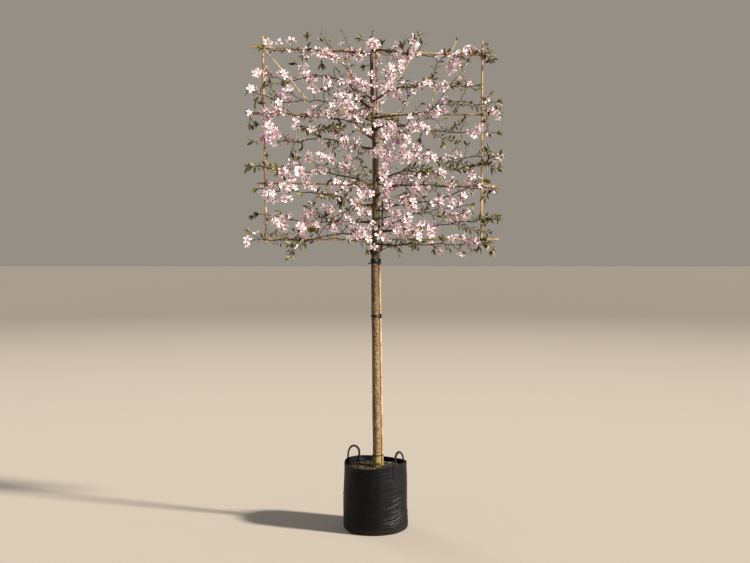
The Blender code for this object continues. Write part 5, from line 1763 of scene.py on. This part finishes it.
            # Each year's growth sets off at its own angle, so the limb has a kink at each node
            node_place = share * run.length / NODE_SPACING
            node_low = floor(node_place)
            ease = node_place - node_low
            kink = kinks[node_low % 16].lerp(kinks[(node_low + 1) % 16], ease)
            spot = spot + (sway + kink) * loose + UP * bend_of(name, share)
            if share < bare:
                radius = root * (1 + (BOUGH_TIP_SHARE - 1) * share / bare)
            else:
                first = root * BOUGH_TIP_SHARE
                fall = ((share - bare) / (1 - bare)) ** 0.36
                radius = first + (STEM_TIP_RADIUS - first) * fall
            middle, half, more = LIMB_KNUCKLES.get(name, (0, 1, 0))
            radius += more * exp(-(((share - middle) / half) ** 2))
            radius *= 1 + (COLLAR_SHARE - 1) * exp(-((share * run.length / 0.007) ** 2))
            centres.append(spot)
            radii.append(radius)
        knots = [self.rng.uniform(0, 6) for _ in range(3)]

        def relief(place, turn, centre):
            size = radii[place]
            way = round_at(1, turn, place * 0.3 + seed * 5)
            rough = 0.1 * wander(seed, way, 1.4) + 0.05 * wander(seed + 7, way, 3.5)
            joint = sin(place * 0.55 + knots[0]) * sin(place * 0.23 + knots[1])
            return size * (rough + 0.13 * max(0, joint) ** 3)

        add_tube(self.heaps["limbs"], centres, radii, 10, 0, UP, relief)
        self.runs[name] = Run(centres)
        self.add_sites(centres[3:], radii[3:], 0)

    def side_twig(self, name, share):
        """The source's side twig, with finer twigs, its flowers and its end leaves."""
        rng = self.rng
        spot, heading = self.runs[name].at(share)
        out = self.around(heading, TWIG_FLATNESS)
        lean = TWIG_SPREAD * rng.uniform(0.75, 1.15)
        way = (heading * cos(lean) + out * sin(lean)).normalized()
        size = TWIG_LONGEST + (TWIG_SHORTEST - TWIG_LONGEST) * share
        for cut in (1, 0.72, 0.5):
            length = size * rng.uniform(0.85, 1.15) * cut
            end = spot + way * length + UP * (0.1 * length)
            if self.inside(end, 0.02):
                break
        else:
            return
        points = self.bowed(spot, way, end, 0.55, 7)
        self.wood(points, TWIG_RADIUS, TWIG_TIP_RADIUS, 5, rng.choice((0, 1)))
        tint = rng.choice((0, 0, 1, 1, 2))
        near_trunk = max(0, 1 - abs(spot.x) / 0.45)
        for part in (0.45, 0.92):
            out = self.around(way)
            place = points[min(6, round(part * 6 * rng.uniform(0.9, 1.05)))]
            if rng.random() < 0.18 + 0.5 * near_trunk:
                self.flower(place, out + way * 0.3, tint, 1, rng.random() < 0.2)
        for part in (1, 3, 4, 5):
            fine_way = (way + self.around(way) * 0.9).normalized()
            fine_end = points[part] + fine_way * length * rng.uniform(0.22, 0.42)
            fine = self.bowed(points[part], fine_way, fine_end, 0.5, 4)
            self.wood(fine, 0.0014, 0.0009, 4, 1)
            if rng.random() < 0.1 + 0.3 * near_trunk:
                self.flower(fine_end, fine_way + self.jitter() * 0.5, tint)
            elif rng.random() < (0.1 if spot.x > 0.35 else 0.45):
                self.tuft(fine_end, fine_way, rng.choice((1, 2, 2)), LEAF_LENGTH * 0.8)
            else:
                self.add_bud(fine_end, fine_way)
        for _ in range(1 if share < 0.6 or spot.x > 0.35 else 2):
            leafy = way + self.around(way) * rng.uniform(0.2, 0.7)
            self.leaf(points[-1], leafy, LEAF_LENGTH * rng.uniform(0.8, 1.1))

    def spur(self, name, share):
        """A short spur between the side twigs: a flower, a bud or a pair of leaves."""
        rng = self.rng
        spot, heading = self.runs[name].at(share)
        out = self.around(heading)
        way = (out + heading * rng.uniform(0.1, 0.9)).normalized()
        end = spot + way * rng.uniform(0.009, 0.024)
        middle = spot.lerp(end, 0.5) + self.jitter() * 0.0008
        add_tube(self.heaps["twigs"], [spot, middle, end], [0.0016, 0.0013, 0.0012], 5)
        near_trunk = max(0, 1 - abs(spot.x) / 0.5)
        draw = rng.random()
        if draw < 0.04 + 0.36 * near_trunk:
            self.flower(end, way + self.jitter() * 0.4, rng.choice((0, 1, 1, 2)), 0.95, rng.random() < 0.25)
        elif draw < 0.62:
            self.add_bud(end, way + self.jitter() * 0.3)
        elif draw < 0.86 - 0.2 * near_trunk:
            self.tuft(end, way, rng.choice((1, 2, 3)), LEAF_LENGTH * rng.uniform(0.5, 0.9))

    def grow_limb(self, name):
        """Side twigs crowded to the root, spurs between them, and a leafy tip."""
        run = self.runs[name]
        count = max(1, round(run.length / TWIG_PITCH))
        for place in range(count):
            share = ((place + self.rng.uniform(0.15, 0.5)) / count) ** ROOT_CROWDING
            self.side_twig(name, share)
        spurs = round(run.length / SPUR_PITCH)
        for place in range(spurs):
            self.spur(name, (place + self.rng.uniform(0.3, 0.9)) / spurs)
        tip, heading = run.at(0.995)
        self.tuft(tip, heading, 4, LEAF_LENGTH * 1.05)

    def grow(self):
        """Limbs first, then shoots, bouquets and leaf tufts, then the rule between them."""
        for seed, name in enumerate(LIMBS):
            bare = LIMBS[name][4]
            run = limb_run(name)
            root = BOUGH_ROOT_RADIUS + BOUGH_RADIUS_PER_RUN * run.length
            self.limb(name, run, bare, root if bare else root * 0.8, seed)
            if name == FORK_FROM:
                fork = fork_run(run, bare)
                self.limb(FORK_NAME, fork, 0, 0.004, 60)
        rows = [trunk_at(1.66 + 0.012 * step) for step in range(107)]
        self.add_sites(*zip(*rows), 0.03)
        top, _ = trunk_at(TRUNK_ROWS[-1][0])
        leader = [top + Vector((0.002 * step, -0.001 * step, LEADER_RISE * step / 5)) for step in range(6)]
        self.wood(leader, 0.004, 0.0016, 7, 0)
        self.tuft(leader[-1], Vector((0.1, 0, 1)), 4, 0.022)
        # A dark stem that rises from behind the trunk, close beside the centre cane
        stem = [Vector(spot) for spot in SECOND_STEM]
        run = Run(smooth_run(stem, Vector((0.6, 0, 1)).normalized(), 10))
        self.wood([run.at(step / 40)[0] for step in range(41)], *SECOND_STEM_RADII, 9, 0)
        for leafy, *places in SHOOTS:
            self.shoot(list(zip(places[::2], places[1::2])), leafy)
        rows = [(*row, False) for row in BOUQUETS]
        rows += [(*row, True) for row in SHADED_BOUQUETS]
        rows.sort(key=lambda row: abs(row[0]))
        for make, table in ((self.bouquet, rows), (self.sheath, SHEATHS),
                            (self.bold_flower, BOLD_FLOWERS), (self.leaf_tuft, LEAF_TUFTS)):
            for row in table:
                make(*row)
        self.ceiling = GROWN_BLOSSOM_CEILING
        for name in list(self.runs):
            self.grow_limb(name)

    def pieces(self):
        """The crown's finished pieces, each standing for the solids that it replaces."""
        masses = [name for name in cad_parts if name.startswith("mass_")]
        boughs = [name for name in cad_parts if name.startswith("bough_")]
        finishes = {
            "limbs": [wood_bark("bough_bark", "1f160f", "3a2a1e", "655141", 0.78)],
            "twigs": [
                wood_bark("twig_bark_dark", "21160f", "38271c", "57422f", 0.7),
                wood_bark("twig_bark_green", "2c2615", "473d22", "6a5a36", 0.62),
                # The pale twig bark is painted sunlight: a sunlit copy of the shoots' bark
                wood_bark("twig_bark_sunlit", "a58b66", "d2b78c", "eed9b4", 0.55),
            ],
            "petals": [
                almond_petal("petal_white_pink", "dcb4c4", "f8e9f0", "fdf6fa"),
                almond_petal("petal_pale_pink", "d5adc0", "f4dfe9", "fbeef4"),
                almond_petal("petal_rose_pink", "c598af", "ecccda", "f5dde8"),
                # The mauve petals are painted shade
                almond_petal("petal_shade_mauve", "996d90", "c49cb6", "d6b5ca"),
            ],
            "hearts": [soft_part("blossom_heart", "5a2436", "a9766a", 0.6)],
            "calyces": [soft_part("almond_calyx", "4f2a22", "7d4a38", 0.62)],
            "buds": [
                soft_part("bud_rose", "b87790", "dcaabc", 0.55),
                soft_part("bud_deep_pink", "94526a", "c08298", 0.55),
            ],
            "leaves": [
                almond_leaf("leaf_dark_olive", "33340e", "595420"),
                almond_leaf("leaf_olive", "554f12", "767026"),
                almond_leaf("leaf_bronze", "665416", "87762c"),
            ],
        }
        for kind, made in finishes.items():
            nodes = boughs + masses if kind == "limbs" else masses
            slot = "bough_bark" if kind in ("limbs", "twigs") else "blossom_and_leaf"
            self.heaps[kind].piece(f"almond_{kind}", made, slot, *nodes)


def clear_of_canes(spot):
    """Moves a place forward of a cane that it would lie in."""
    for name in CANES:
        a, b = cane_ends(name)
        run = (b - a).normalized()
        gap = spot - a
        nearest = a + run * min(max(gap.dot(run), 0), (b - a).length)
        if (spot - nearest).length < cane_radius(name) + 0.014:
            spot = Vector((spot.x, nearest.y - cane_radius(name) - 0.018, spot.z))
    return spot


# Studio


def studio():
    """A plain pale floor, a soft low key from the right front, and a level camera."""
    floor_mesh = bpy.data.meshes.new("studio_floor")
    signs = ((-1, -1), (1, -1), (1, 1), (-1, 1))
    corners = [(x * FLOOR_HALF, y * FLOOR_HALF, FLOOR_LEVEL) for x, y in signs]
    floor_mesh.from_pydata(corners, [], [(0, 1, 2, 3)])
    floor_mesh.materials.append(studio_floor())
    linked("studio_floor", floor_mesh)
    world = bpy.data.worlds.new("studio")
    world.use_nodes = True
    backdrop = world.node_tree.nodes["Background"]
    backdrop.inputs["Color"].default_value = linear("968f86")
    backdrop.inputs["Strength"].default_value = 1
    bpy.context.scene.world = world
    bpy.context.scene.view_settings.view_transform = "Standard"
    # One broad soft lamp far off at the right front, low, and a weak one at the left back
    lamps = (
        ("key", (5.8, -2.2, 3.5), 9, 5, "fff1e0"),
        ("back", (-3, 4, 3), 0.6, 20, "f3f5ff"),
    )
    for name, place, power, spread, colour in lamps:
        lamp = bpy.data.lights.new(name, "SUN")
        lamp.energy = power
        lamp.angle = radians(spread)
        lamp.color = linear(colour)[:3]
        item = linked(name, lamp)
        item.location = place
        item.rotation_euler = (-Vector(place)).to_track_quat("-Z", "Y").to_euler()
    lens = bpy.data.cameras.new("front_camera")
    lens.lens = CAMERA_LENS
    lens.shift_y = CAMERA_RISE
    camera = linked("front_camera", lens)
    camera.location = CAMERA_PLACE
    camera.rotation_euler = (radians(90), 0, 0)
    bpy.context.scene.camera = camera


STRAP_FINISHES = [ribbed_webbing(), waxed_thread()]
CANE_FINISHES = [
    dried_bamboo(), bamboo_joint(), bark_chip("bamboo_sawn_end", "a98a58", "dcc491"),
    # The hollow's dark finish is painted shade where the hole would be
    bark_chip("bamboo_hollow_shade", "3a2a18", "5b452b"),
]
TIE_FINISHES = [tie_rubber(), galvanised_buckle()]

bag_shell()
bag_stitches()
compost_surface()
bark_mulch()
for strap in HANDLES:
    carrying_strap(strap)
trunk_stem()
for cane_seed, cane in enumerate(CANES, 1):
    bamboo_cane(cane, cane_seed)
for tie in TIES:
    tree_tie(tie)
almond_crown = Crown()
almond_crown.grow()
almond_crown.pieces()
twine_lashings(almond_crown)
studio()
